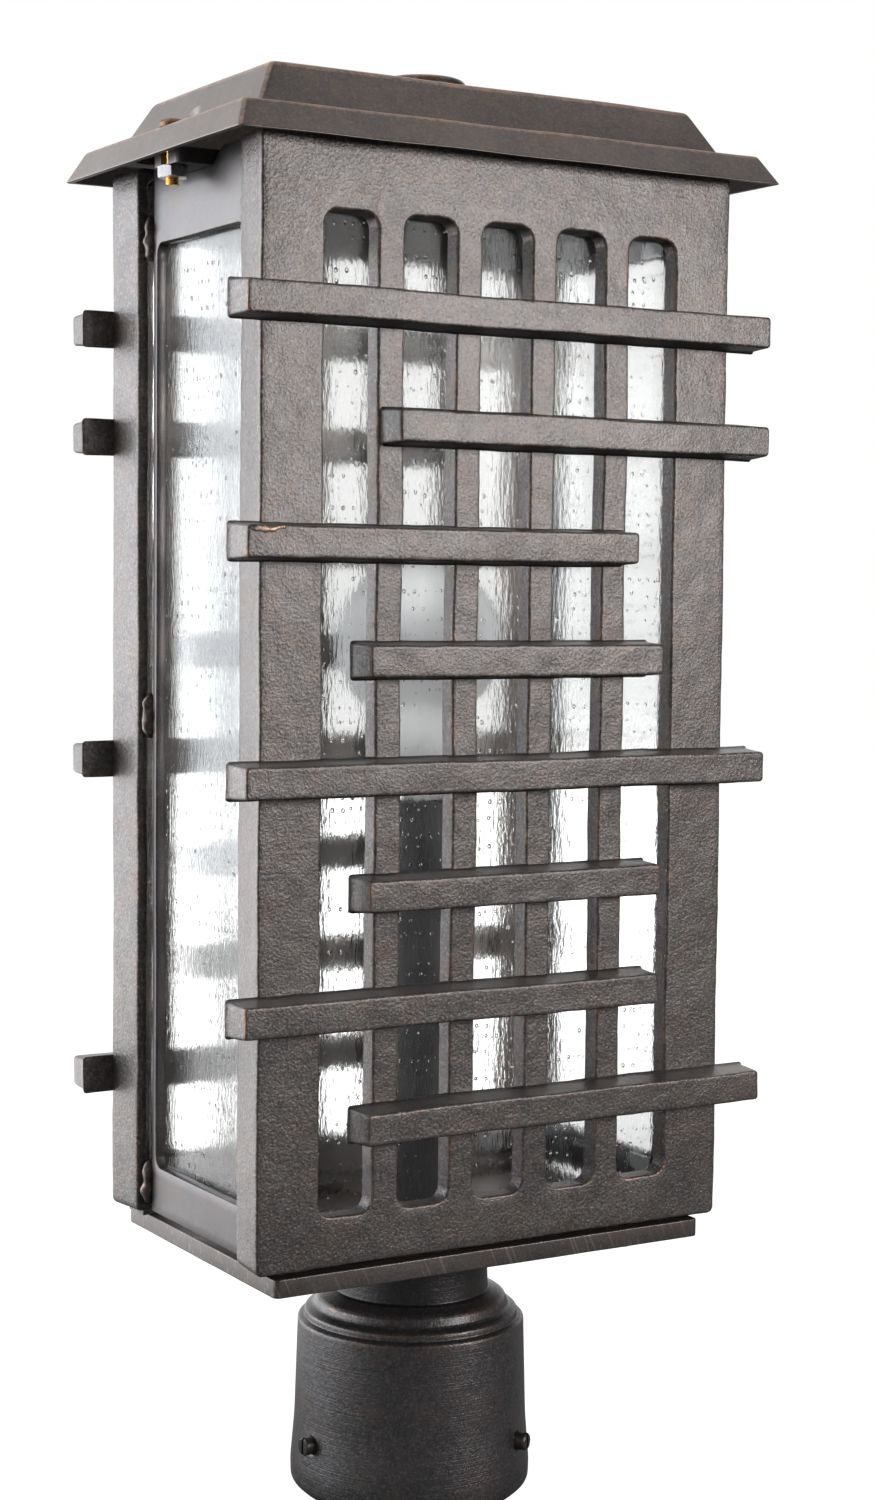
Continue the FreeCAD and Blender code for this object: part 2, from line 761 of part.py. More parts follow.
def clip_screw_places(half_width, low, high):
    """Places of a pane's four clip screws, in the middle of the clips' feet."""
    off_edge = "(clip_clearance + clip_sheet + clip_foot / 2)"
    places = []
    for side in (-1, 1):
        for level in (f"{low} - {off_edge}", f"{high} + {off_edge}"):
            places.append((f"{side} * ({half_width} - clip_end_inset)", level))
    return places


def clip_holes(body, seat, half_width, low, high):
    """Blind holes for the clip screws in the piece that the pane lies against."""
    sketch = new_sketch(body, "XZ_Plane", seat)
    for across, level in clip_screw_places(half_width, low, high):
        draw_circle(sketch, across, level, "clip_screw_diameter / 2 + hole_clearance")
    cut(body, sketch, "clip_screw_bite + hole_clearance")


def glass_pane(label, turn, seat, half_width, low, high):
    """Flat pane that lies against its seat from inside."""
    body = new_body(label, turn)
    sketch = new_sketch(body, "XZ_Plane", seat)
    draw_box(sketch, f"-({half_width})", half_width, low, high)
    extrude(body, sketch, "glass_thickness", inward=True)


def glass_clips(label, turn, seat, half_width, low, high):
    """Four bent strips: a foot on the seat, a step past the pane's edge, a tongue over the glass."""
    body = new_body(label, turn)
    sketch = new_sketch(body, "YZ_Plane", f"{half_width} - clip_end_inset - clip_width / 2")
    under = f"-({seat})"
    over = f"{under} + glass_thickness"
    for edge, way in ((low, "+"), (high, "-")):
        back = "-" if way == "+" else "+"
        foot_end = f"{edge} {back} (clip_clearance + clip_sheet + clip_foot)"
        step_back = f"{edge} {back} (clip_clearance + clip_sheet)"
        step_front = f"{edge} {back} clip_clearance"
        tongue_end = f"{edge} {way} clip_tongue"
        draw_outline(sketch, [
            (under, foot_end),
            (f"{under} + clip_sheet", foot_end),
            (f"{under} + clip_sheet", step_back),
            (f"{over} + clip_sheet", step_back),
            (f"{over} + clip_sheet", tongue_end),
            (over, tongue_end),
            (over, step_front),
            (under, step_front),
        ])
    strip = extrude(body, sketch, "clip_width")
    mirror = body.newObject("PartDesign::Mirrored", f"{label}_pair")
    mirror.Originals = [strip]
    mirror.MirrorPlane = (origin_plane(body, "YZ_Plane"), [""])
    body.Tip = mirror
    doc.recompute()
    holes = new_sketch(body, "XZ_Plane", seat)
    for across, level in clip_screw_places(half_width, low, high):
        draw_circle(holes, across, level, "clip_screw_diameter / 2 + hole_clearance")
    cut(body, holes, "clip_sheet", inward=True)


def clip_screws(label, turn, seat, half_width, low, high):
    """The four small pan screws of one pane's clips."""
    body = new_body(label, turn)
    heads = new_sketch(body, "XZ_Plane", f"{seat} - clip_sheet")
    shanks = new_sketch(body, "XZ_Plane", f"{seat} - clip_sheet")
    for across, level in clip_screw_places(half_width, low, high):
        draw_circle(heads, across, level, "clip_screw_head / 2")
        draw_circle(shanks, across, level, "clip_screw_diameter / 2")
    extrude(body, heads, "clip_screw_head_height", inward=True)
    extrude(body, shanks, "clip_sheet + clip_screw_bite")


def roof_ear(label, turn):
    """Forked lug that lies in the side frame's notch, open outwards for the roof screw."""
    body = new_body(label, turn)
    sketch = new_sketch(body, "XY_Plane", "notch_level")
    half = "ear_width / 2"
    root = "frame_back - ear_root"
    tip = "(roof_screw_place + ear_lip)"
    slot = "(roof_screw_radius + ear_slot_clearance)"
    draw_outline(sketch, [
        (f"-{half}", f"-({root})"),
        (half, f"-({root})"),
        (half, f"-({tip} - ear_corner)"),
        (f"{half} - ear_corner", f"-{tip}", "ear_corner"),
        (slot, f"-{tip}"),
        (slot, "-roof_screw_place"),
        ("0", f"-(roof_screw_place - {slot})", f"-{slot}"),
        (f"-{slot}", "-roof_screw_place", f"-{slot}"),
        (f"-{slot}", f"-{tip}"),
        (f"-({half} - ear_corner)", f"-{tip}"),
        (f"-{half}", f"-({tip} - ear_corner)", "ear_corner"),
    ])
    extrude(body, sketch, "ear_thickness")


def roof():
    """Hollow hipped casting: leaning skirt, flat ledge, hip with rounded edges, two seat ribs inside.

    A round relief in the hip's slope beside each roof screw gives the screwdriver room.
    """
    body = new_body("roof")
    loft(
        body, "AdditiveLoft",
        ("eave_half_width", "eave_half_depth", "skirt_low"),
        ("ledge_half_width", "ledge_half_depth", "ledge"),
    )
    loft(
        body, "AdditiveLoft",
        ("hip_half_width", "hip_half_depth", "ledge"),
        ("hip_half_width - hip_lean", "hip_half_depth - hip_lean", "hip_top"),
    )
    ease_edges(body, "hip_round", is_roof_edge)
    loft(
        body, "SubtractiveLoft",
        ("eave_half_width - skirt_lip", "eave_half_depth - skirt_lip", "skirt_low"),
        ("ledge_half_width - roof_wall", "ledge_half_depth - roof_wall", "ledge_under"),
    )
    loft(
        body, "SubtractiveLoft",
        ("hip_half_width - roof_wall", "hip_half_depth - roof_wall", "ledge_under"),
        (
            "hip_half_width - hip_lean - roof_wall",
            "hip_half_depth - hip_lean - roof_wall",
            "hip_top - roof_wall",
        ),
    )
    ribs = new_sketch(body, "XY_Plane", "eaves")
    for end in (-1, 1):
        middle = f"{end} * (face - web_thickness / 2)"
        draw_box(
            ribs, "-seat_rib_length / 2", "seat_rib_length / 2",
            f"{middle} - seat_rib / 2", f"{middle} + seat_rib / 2",
        )
    extrude(body, ribs, "ledge_under - eaves")
    screw_holes = new_sketch(body, "XY_Plane", "ledge")
    reliefs = new_sketch(body, "XY_Plane", "ledge")
    for side in (-1, 1):
        draw_circle(screw_holes, f"{side} * roof_screw_place", "0", "roof_screw_radius + roof_hole_clearance")
        draw_circle(reliefs, f"{side} * roof_screw_place", "0", "roof_screw_relief")
    cut(body, screw_holes, "skirt_height", inward=True)
    cut(body, reliefs, "hip_rise")
    knob_hole = new_sketch(body, "XY_Plane", "hip_top")
    draw_circle(knob_hole, "0", "0", "knob_screw_diameter / 2 + hole_clearance")
    cut(body, knob_hole, "roof_wall", inward=True)


def is_roof_edge(edge):
    """Whether an edge is one of the roof's outer arrises: hip top, hip corners, skirt top, skirt corners."""
    box = edge.BoundBox
    if lies_at(edge, "z", measure("hip_top")):
        return True
    if lies_at(edge, "z", measure("ledge")):
        along = max(abs(box.XMax), abs(box.XMin)) > measure("ledge_half_width") - SAME_PLACE
        across = max(abs(box.YMax), abs(box.YMin)) > measure("ledge_half_depth") - SAME_PLACE
        return along and across
    return box.ZLength > measure("skirt_height") - SAME_PLACE


def roof_knob():
    """Short round cap in the middle of the roof, drawn down by a screw from inside."""
    radius = "knob_diameter / 2"
    hole = "knob_screw_diameter / 2 + hole_clearance"
    hole_end = "hip_top + knob_screw_bite + hole_clearance"
    turned("roof_knob", [
        (hole, "hip_top"),
        (radius, "hip_top"),
        (radius, "hip_top + knob_height - knob_round"),
        (f"{radius} - knob_round", "hip_top + knob_height", "-knob_round"),
        ("0", "hip_top + knob_height"),
        ("0", hole_end),
        (hole, hole_end),
    ])


def knob_screw():
    """Pan screw up through the roof into the knob."""
    seat = "hip_top - roof_wall"
    turned("knob_screw", [
        ("0", f"{seat} - knob_screw_head_height"),
        ("knob_screw_head / 2", f"{seat} - knob_screw_head_height"),
        ("knob_screw_head / 2", seat),
        ("knob_screw_diameter / 2", seat),
        ("knob_screw_diameter / 2", "hip_top + knob_screw_bite"),
        ("0", "hip_top + knob_screw_bite"),
    ])


def roof_screw(label, side):
    """Slotted pan screw down through the roof's ledge, the ear and the nut."""
    top = "ledge + roof_screw_head_height"
    end = "notch_level - roof_nut_height - roof_screw_tail"
    body = turned(label, [
        ("0", end),
        ("roof_screw_radius", end),
        ("roof_screw_radius", "ledge"),
        ("roof_screw_head / 2", "ledge"),
        ("roof_screw_head / 2", f"{top} - roof_screw_head_height / 2"),
        ("roof_screw_head / 2 - roof_screw_head_height / 2", top),
        ("0", top),
    ])
    slot = new_sketch(body, "XY_Plane", top)
    draw_box(slot, "-roof_screw_head", "roof_screw_head", "-screw_slot_width / 2", "screw_slot_width / 2")
    cut(body, slot, "screw_slot_depth", inward=True)
    place_across(body, f"{side} * roof_screw_place")


def roof_nut(label, side):
    """Hexagon nut under the ear."""
    low = "notch_level - roof_nut_height"
    body = hex_nut(label, "roof_nut_across", low, "roof_nut_height", "roof_screw_radius + running_clearance")
    place_across(body, f"{side} * roof_screw_place")


def lamp_holder():
    """Threaded stem with its lock nuts, sleeve, holder body, screw shell and centre contact."""
    low_nut = "neck_ceiling - lock_nut_height"
    turned("stem", [
        ("stem_bore / 2", f"{low_nut} - stem_tail"),
        ("stem_radius", f"{low_nut} - stem_tail"),
        ("stem_radius", "holder_low + stem_grip"),
        ("stem_bore / 2", "holder_low + stem_grip"),
    ])
    hex_nut("lower_lock_nut", "lock_nut_across", low_nut, "lock_nut_height", "stem_radius + hole_clearance")
    hex_nut("upper_lock_nut", "lock_nut_across", "deck", "lock_nut_height", "stem_radius + hole_clearance")
    turned("lamp_sleeve", [
        ("sleeve_radius - sleeve_wall", "deck"),
        ("sleeve_radius", "deck"),
        ("sleeve_radius", "sleeve_top"),
        ("sleeve_radius - sleeve_wall", "sleeve_top"),
    ])
    turned("holder_body", [
        ("stem_radius + hole_clearance", "holder_low"),
        ("holder_radius", "holder_low"),
        ("holder_radius", "holder_top"),
        ("holder_radius - holder_wall", "holder_top"),
        ("holder_radius - holder_wall", "holder_seat"),
        ("0", "holder_seat"),
        ("0", "holder_low + stem_grip"),
        ("stem_radius + hole_clearance", "holder_low + stem_grip"),
    ])
    turned("holder_shell", [
        ("shell_bore", "holder_seat"),
        ("shell_radius", "holder_seat"),
        ("shell_radius", "holder_seat + shell_height"),
        ("shell_bore", "holder_seat + shell_height"),
    ])
    turned("holder_contact", [
        ("0", "holder_seat"),
        ("contact_radius", "holder_seat"),
        ("contact_radius", "contact_top"),
        ("0", "contact_top"),
    ])


def lamp():
    """Lamp with a screw base: eyelet, insulator, base shell and blown glass."""
    eyelet_top = "contact_top + lamp_eyelet_height"
    floor_top = "lamp_base_low + lamp_base_wall"
    inside = "lamp_base_radius - lamp_base_wall"
    turned("lamp_eyelet", [
        ("0", "contact_top"),
        ("lamp_eyelet_radius", "contact_top"),
        ("lamp_eyelet_radius", eyelet_top),
        ("0", eyelet_top),
    ])
    turned("lamp_insulator", [
        ("0", eyelet_top),
        ("lamp_eyelet_radius", eyelet_top),
        ("lamp_insulator_radius", "lamp_base_low"),
        ("lamp_insulator_radius", floor_top),
        ("0", floor_top),
    ])
    turned("lamp_base", [
        ("lamp_insulator_radius + hole_clearance", "lamp_base_low"),
        ("lamp_base_radius - lamp_base_taper", "lamp_base_low"),
        ("lamp_base_radius", "lamp_base_low + lamp_base_taper"),
        ("lamp_base_radius", "lamp_base_top"),
        (inside, "lamp_base_top"),
        (inside, f"{floor_top} + lamp_base_taper"),
        (f"{inside} - lamp_base_taper", floor_top),
        ("lamp_insulator_radius + hole_clearance", floor_top),
    ])
    inner_neck = "lamp_neck_radius - lamp_glass_wall"
    inner_globe = "(lamp_radius - lamp_glass_wall)"
    turned("lamp_glass", [
        (inner_neck, "lamp_base_top - lamp_neck_lap"),
        ("lamp_neck_radius", "lamp_base_top - lamp_neck_lap"),
        ("lamp_neck_radius", "lamp_base_top"),
        (
            "lamp_radius * cos(lamp_waist_angle * 1 deg)",
            "lamp_centre - lamp_radius * sin(lamp_waist_angle * 1 deg)",
            "lamp_waist_bend",
        ),
        ("0", "lamp_top", "-lamp_radius"),
        ("0", "lamp_top - lamp_glass_wall"),
        (
            f"{inner_globe} * cos(lamp_waist_angle * 1 deg)",
            f"lamp_centre - {inner_globe} * sin(lamp_waist_angle * 1 deg)",
            inner_globe,
        ),
        (inner_neck, "lamp_base_top", "-lamp_waist_bend"),
    ])


post_fitter()
for number in range(1, SET_SCREW_COUNT + 1):
    set_screw(number)
base_plate()
base_screws()
ground_screw()
lamp_holder()
lamp()
cast_panel("front_panel", 0)
cast_panel("back_panel", 180)
side_frame("left_side_frame", -90)
side_frame("right_side_frame", 90)
tack_welds()
# The panes of the four sides, each with its turn from the front
for side_name, turn, pane in (
    ("front", 0, PANEL_PANE),
    ("right", 90, SIDE_PANE),
    ("back", 180, PANEL_PANE),
    ("left", -90, SIDE_PANE),
):
    glass_pane(f"{side_name}_glass", turn, *pane)
    glass_clips(f"{side_name}_glass_clips", turn, *pane)
    clip_screws(f"{side_name}_clip_screws", turn, *pane)
for side_name, turn, side in (("left", -90, -1), ("right", 90, 1)):
    roof_ear(f"{side_name}_roof_ear", turn)
    roof_screw(f"{side_name}_roof_screw", side)
    roof_nut(f"{side_name}_roof_nut", side)
roof()
roof_knob()
knob_screw()

doc.recompute()
for item in doc.Objects:
    if "Invalid" in item.State or "Error" in item.State:
        raise RuntimeError(f"{item.Label} failed: {item.State}")
for body in sub_parts:
    if body.Shape.isNull() or not body.Shape.isValid():
        raise RuntimeError(f"{body.Label} has no valid shape")
os.makedirs("parts", exist_ok=True)
for body in sub_parts:
    body.Shape.exportStep(f"parts/{body.Label}.step")
    print(f"{body.Label}: {len(body.Shape.Solids)} solids, {body.Shape.Volume / 1000:.2f} cm3")
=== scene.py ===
"""The looks of a post-top box lantern: cast bronze-painted panels with slots and bars, seeded glass, hipped roof.

The sections follow the lantern as it is put together, from the post fitter up to the roof nuts. Lengths are metres.
"""
import math

import bmesh
import bpy
import numpy as np
from mathutils import Matrix, Vector


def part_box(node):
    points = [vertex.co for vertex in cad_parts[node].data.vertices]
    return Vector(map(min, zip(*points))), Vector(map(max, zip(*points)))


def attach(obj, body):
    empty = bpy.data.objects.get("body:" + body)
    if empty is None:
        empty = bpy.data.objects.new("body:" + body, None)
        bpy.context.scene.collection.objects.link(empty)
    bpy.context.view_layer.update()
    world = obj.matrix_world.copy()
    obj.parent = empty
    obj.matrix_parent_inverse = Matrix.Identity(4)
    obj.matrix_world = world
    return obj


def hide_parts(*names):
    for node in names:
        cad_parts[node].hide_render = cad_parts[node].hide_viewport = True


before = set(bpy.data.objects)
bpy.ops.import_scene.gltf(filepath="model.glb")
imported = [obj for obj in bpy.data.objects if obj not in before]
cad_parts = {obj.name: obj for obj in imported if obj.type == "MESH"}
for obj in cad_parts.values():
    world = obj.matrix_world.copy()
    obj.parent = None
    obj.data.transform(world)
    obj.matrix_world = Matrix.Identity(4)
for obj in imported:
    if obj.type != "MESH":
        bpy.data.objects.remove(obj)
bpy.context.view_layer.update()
MM = 0.001

# Studio: a white room with a large cool softbox behind the left side, a small one at the front right as high as
# the roof, and a weak one above. The camera stands at the front left, a little above the middle, and looks down.
PHOTO_WIDTH = 874
PHOTO_HEIGHT = 1500
FOCAL_PIXELS = 2538.7
CENTRE_PIXEL = (435.2, 751.8)
CAMERA_PLACE = Vector((-0.46106, -0.79097, 0.32862))
CAMERA_YAW = 0.5355
CAMERA_PITCH = 0.0656
CAMERA_ROLL = 0.0094
SENSOR = 36.0
BRIGHT_WAY = (-0.36, 0.91, 0.2)
MIRRORED_LEAST = 0.12
ROOM_LIGHT = 0.27
FLOOR_HALF = 3.0
FLOOR_LEVEL = -0.2 * MM
FLOOR_WAY = (-0.5, 0.86, 0.0)
FLOOR_SEEN = 0.45
FLOOR_THROUGH_GLASS = 0.31
FLOOR_GLOW = (2.2, 2.2, 2.2, 1)


def add_camera():
    """Camera with its axes worked out from yaw, downward pitch and roll, framed as the photograph."""
    level = Vector((math.sin(CAMERA_YAW), math.cos(CAMERA_YAW), 0))
    right = Vector((math.cos(CAMERA_YAW), -math.sin(CAMERA_YAW), 0))
    upright = Vector((0, 0, 1))
    ahead = math.cos(CAMERA_PITCH) * level - math.sin(CAMERA_PITCH) * upright
    above = math.sin(CAMERA_PITCH) * level + math.cos(CAMERA_PITCH) * upright
    rolled_right = math.cos(CAMERA_ROLL) * right + math.sin(CAMERA_ROLL) * above
    rolled_up = math.cos(CAMERA_ROLL) * above - math.sin(CAMERA_ROLL) * right
    camera = bpy.data.objects.new("camera", bpy.data.cameras.new("camera"))
    turn = Matrix((rolled_right, rolled_up, -ahead)).transposed()
    camera.matrix_world = Matrix.Translation(CAMERA_PLACE) @ turn.to_4x4()
    camera.data.sensor_fit = "VERTICAL"
    camera.data.sensor_height = SENSOR
    camera.data.lens = FOCAL_PIXELS * SENSOR / PHOTO_HEIGHT
    camera.data.shift_x = (PHOTO_WIDTH / 2 - CENTRE_PIXEL[0]) / PHOTO_HEIGHT
    camera.data.shift_y = (CENTRE_PIXEL[1] - PHOTO_HEIGHT / 2) / PHOTO_HEIGHT
    bpy.context.scene.collection.objects.link(camera)
    bpy.context.scene.camera = camera


def add_softbox(name, place, aim, width, height, power, colour=(1.0, 1.0, 1.0)):
    """Rectangular lamp at a place, turned towards the point it lights and unseen by the camera itself."""
    lamp = bpy.data.lights.new(name, "AREA")
    lamp.shape = "RECTANGLE"
    lamp.size = width
    lamp.size_y = height
    lamp.energy = power
    lamp.color = colour
    holder = bpy.data.objects.new(name, lamp)
    holder.location = place
    holder.rotation_euler = (Vector(aim) - Vector(place)).to_track_quat("-Z", "Y").to_euler()
    holder.visible_camera = False
    bpy.context.scene.collection.objects.link(holder)


class Field:
    """A value over a surface: one socket of a node tree, on which plain arithmetic adds Math nodes."""

    def __init__(self, tree, socket=None):
        self.tree = tree
        self.socket = socket

    def node(self, kind, settings=None, sockets=None, out=0):
        """Add a node, its settings first, then the values or links of its sockets, and give one output."""
        made = self.tree.nodes.new(kind)
        for key, value in (settings or {}).items():
            setattr(made, key, value)
        for key, value in (sockets or {}).items():
            if isinstance(value, Field):
                self.tree.links.new(value.socket, made.inputs[key])
            else:
                made.inputs[key].default_value = value
        return Field(self.tree, made.outputs[out])

    def math(self, operation, *values):
        return self.node("ShaderNodeMath", {"operation": operation}, dict(enumerate(values)))

    def __add__(self, other):
        return self.math("ADD", self, other)

    def __sub__(self, other):
        return self.math("SUBTRACT", self, other)

    def __rsub__(self, other):
        return self.math("SUBTRACT", other, self)

    def __mul__(self, other):
        return self.math("MULTIPLY", self, other)

    __radd__ = __add__
    __rmul__ = __mul__

    def between(self, low, high):
        """Smooth step: 0 at or under low, 1 at or over high."""
        sockets = {"Value": self, "From Min": low, "From Max": high}
        return self.node("ShaderNodeMapRange", {"interpolation_type": "SMOOTHSTEP"}, sockets)

    def blend(self, first, second):
        """Colour that goes from first to second as this value goes from 0 to 1."""
        return self.node("ShaderNodeMix", {"data_type": "RGBA"}, {0: self, 6: first, 7: second}, 2)

    def stretch(self, across, along, up):
        """A place scaled by one factor for each axis."""
        return self.node("ShaderNodeVectorMath", {"operation": "MULTIPLY"}, {0: self, 1: (across, along, up)})

    def part(self, axis):
        """One coordinate of a place or direction."""
        return self.node("ShaderNodeSeparateXYZ", None, {"Vector": self}, axis)

    def noise(self, scale, detail=2.0, roughness=0.5):
        """Cloudy noise at this place, around one half, with grains of about one metre over scale."""
        sockets = {"Vector": self, "Scale": scale, "Detail": detail, "Roughness": roughness}
        return self.node("ShaderNodeTexNoise", None, sockets)

    def rays(self, *kinds):
        """For each kind of ray, 1 where the surface is met by one, else 0."""
        return [self.node("ShaderNodeLightPath", out=kind) for kind in kinds]

    def bump(self):
        """Normal of a surface raised by this height in metres."""
        return self.node("ShaderNodeBump", None, {"Height": self, "Strength": 1.0, "Distance": 1.0})


def new_finish(name):
    """Empty material: the material, its main shader node and the place on the object, from which its tree grows."""
    material = bpy.data.materials.new(name)
    material.use_nodes = True
    tree = material.node_tree
    return material, tree.nodes["Principled BSDF"], Field(tree).node("ShaderNodeTexCoord", out="Object")


def set_sockets(place, shader, values):
    """Set constants on the shader's own sockets, and link the fields to theirs."""
    for key, value in values.items():
        if isinstance(value, Field):
            place.tree.links.new(value.socket, shader.inputs[key])
        else:
            shader.inputs[key].default_value = value


def add_room():
    """White world that lights softly, brighter towards the back left, and a pale floor that keeps a shadow."""
    world = bpy.data.worlds.new("room")
    bpy.context.scene.world = world
    world.use_nodes = True
    start = Field(world.node_tree)
    seen, through, mirrored = start.rays("Is Camera Ray", "Is Transmission Ray", "Is Glossy Ray")
    way = start.node("ShaderNodeTexCoord", out="Generated")
    side = start.node("ShaderNodeVectorMath", {"operation": "DOT_PRODUCT"}, {0: way, 1: BRIGHT_WAY}, "Value")
    bright = side.between(-0.35, 0.6) + MIRRORED_LEAST
    level = seen.math("MAXIMUM", seen, through)
    level = level + (1 - level) * (mirrored * bright + (1 - mirrored) * ROOM_LIGHT)
    background = world.node_tree.nodes["Background"]
    start.tree.links.new(level.socket, background.inputs["Strength"])
    background.inputs["Color"].default_value = (1, 1, 1, 1)

    sheet = bpy.data.meshes.new("floor")
    corners = [(-1, -1), (1, -1), (1, 1), (-1, 1)]
    sheet.from_pydata([(x * FLOOR_HALF, y * FLOOR_HALF, FLOOR_LEVEL) for x, y in corners], [], [(0, 1, 2, 3)])
    floor = bpy.data.objects.new("floor", sheet)
    bpy.context.scene.collection.objects.link(floor)
    material, shader, place = new_finish("pale_floor")
    straight, through, mirrored = place.rays("Is Camera Ray", "Is Transmission Ray", "Is Glossy Ray")
    side = place.node("ShaderNodeVectorMath", {"operation": "DOT_PRODUCT"}, {0: place, 1: FLOOR_WAY}, "Value")
    shown = straight * FLOOR_SEEN + through * FLOOR_THROUGH_GLASS + mirrored * side.between(0.1, 0.6)
    tone = place.noise(3.0).blend((0.30, 0.30, 0.30, 1), (0.34, 0.34, 0.34, 1))
    glow = shown.blend((0.0, 0.0, 0.0, 1), FLOOR_GLOW)
    set_sockets(place, shader, {
        "Base Color": tone, "Roughness": 0.9, "Specular IOR Level": 0.0,
        "Emission Color": glow, "Emission Strength": 1.0,
    })
    sheet.materials.append(material)


scene = bpy.context.scene
scene.view_settings.view_transform = "Standard"
add_camera()
add_room()
middle = (0.0, 0.0, 0.28)
add_softbox("left_back_softbox", (-1.22, 1.08, 0.45), middle, 1.6, 1.8, 34.0, (0.88, 0.94, 1.0))
add_softbox("right_front_softbox", (0.62, -1.15, 0.52), (0.0, 0.0, 0.38), 0.36, 0.28, 8.3)
add_softbox("roof_softbox", (0.52, -0.25, 1.35), (0.0, 0.0, 0.48), 0.4, 0.4, 0.6)

# Post fitter: the cast cup that slips over the post, with a flared mouth, a stepped shoulder and a neck.
# Sand-cast aluminium in dark bronze paint, turned on a lathe before painting, so fine rings run round it.
FITTER_CORNERS = [
    (38.5, 0.0, 0.4), (40.2, 0.0, 0.6), (43.6, 3.0, 1.6), (43.8, 9.2, 1.8), (42.4, 26.0, 4.0), (41.3, 62.4, 3.0),
    (38.9, 62.9, 0.5), (38.9, 65.4, 1.1), (35.6, 66.6, 1.2), (34.4, 70.4, 1.6), (29.8, 72.3, 0.6), (28.2, 73.0, 0.4),
    (27.4, 93.6, 0.3), (5.0, 93.6, 0.2), (5.0, 86.0, 0.2), (15.0, 86.0, 0.5), (15.0, 68.0, 0.5), (30.5, 54.9, 0.5),
    (30.5, 52.0, 0.3), (38.5, 52.0, 0.3),
]
FITTER_LIP = 15.0 * MM
FITTER_NECK = 72.4 * MM
FITTER_NECK_REACH = 30.0 * MM
SCREW_HEIGHT = 21.0 * MM
SCREW_HOLE = 3.4 * MM
SCREW_WALL = (38.7, 42.5)
SCREW_ANGLES = [math.radians(185 + 120 * number) for number in range(3)]
WELD = 0.002 * MM
PALE_SPECK = (0.30, 0.27, 0.255, 1)
DARK_SPECK = (0.03, 0.027, 0.026, 1)
SCRATCH_TONE = (0.28, 0.22, 0.19, 1)
SCRATCH_SLANT = 0.4
# Near-black colour for painted shade: blended into the paint on faces that point down and on the fitter's neck.
PAINTED_SHADE = (0.012, 0.010, 0.010, 1)
COPPER = (0.32, 0.19, 0.125, 1)


def eased(corners, step, closed=False):
    """Corner points with an ease in their last place, as one line in small steps.

    Each corner is cut back by its ease along both runs and bridged by a parabola. Straight runs are divided to the
    step. Gives the points and their rub: 1 on the eased corners that stand out to the right of the way, else 0.
    """
    corners = np.asarray(corners, float)
    spots, eases = corners[:, :-1], corners[:, -1]
    count = len(spots)
    points, rubs = [], []
    bridge = np.linspace(0, 1, 6)[:, None]
    for number, (spot, ease) in enumerate(zip(spots, eases)):
        before, after = spots[number - 1], spots[(number + 1) % count]
        inside = closed or 0 < number < count - 1
        back, on = before - spot, after - spot
        reach = min(ease, 0.45 * np.linalg.norm(back), 0.45 * np.linalg.norm(on)) if inside else 0
        if reach > 0:
            start = spot + back / np.linalg.norm(back) * reach
            end = spot + on / np.linalg.norm(on) * reach
            piece = (1 - bridge) ** 2 * start + 2 * bridge * (1 - bridge) * spot + bridge ** 2 * end
            stands_out = back[0] * on[-1] - back[-1] * on[0] < 0
            rub = np.full(len(piece), 1.0 if stands_out else 0.0)
        else:
            piece, rub = spot[None], np.zeros(1)
        points.append(piece)
        rubs.append(rub)
    if closed:
        points.append(points[0][:1])
        rubs.append(rubs[0][:1])
    line, line_rub = [points[0]], [rubs[0]]
    for piece, rub in zip(points[1:], rubs[1:]):
        gap = np.linalg.norm(piece[0] - line[-1][-1])
        parts = max(1, int(math.ceil(gap / step)))
        run = np.linspace(0, 1, parts + 1)[1:-1, None]
        line.append(line[-1][-1] * (1 - run) + piece[0] * run)
        line_rub.append(np.zeros(len(run)))
        line.append(piece)
        line_rub.append(rub)
    return np.concatenate(line), np.concatenate(line_rub)


def revolve(line, rub, count):
    """A line of (radius, height) points carried round the upright axis: x = r cos a, y = r sin a, z = height."""
    turn = np.linspace(0, 2 * np.pi, count, endpoint=False)
    radius, height = line[:, :1], line[:, 1:]
    points = np.stack([radius * np.cos(turn), radius * np.sin(turn), height + 0 * turn], -1)
    return points, np.broadcast_to(rub[:, None], points.shape[:2]), True


def lumps(points, size, seed):
    """Smooth unevenness of about -1 to 1: eight sine waves of about one length, in drawn directions."""
    draw = np.random.default_rng(seed)
    waves = draw.normal(size=(8, 3))
    waves *= 2 * np.pi / size * draw.uniform(0.7, 1.4, (8, 1)) / np.linalg.norm(waves, axis=1, keepdims=True)
    return np.sin(points @ waves.T + draw.uniform(0, 2 * np.pi, 8)).sum(-1) / 4


def uneven(points, size, depth, seed):
    """Points moved a little each way by lumps of a given size, as a sand mould leaves them."""
    return points + depth * np.stack([lumps(points, size, seed + axis) for axis in range(3)], -1)


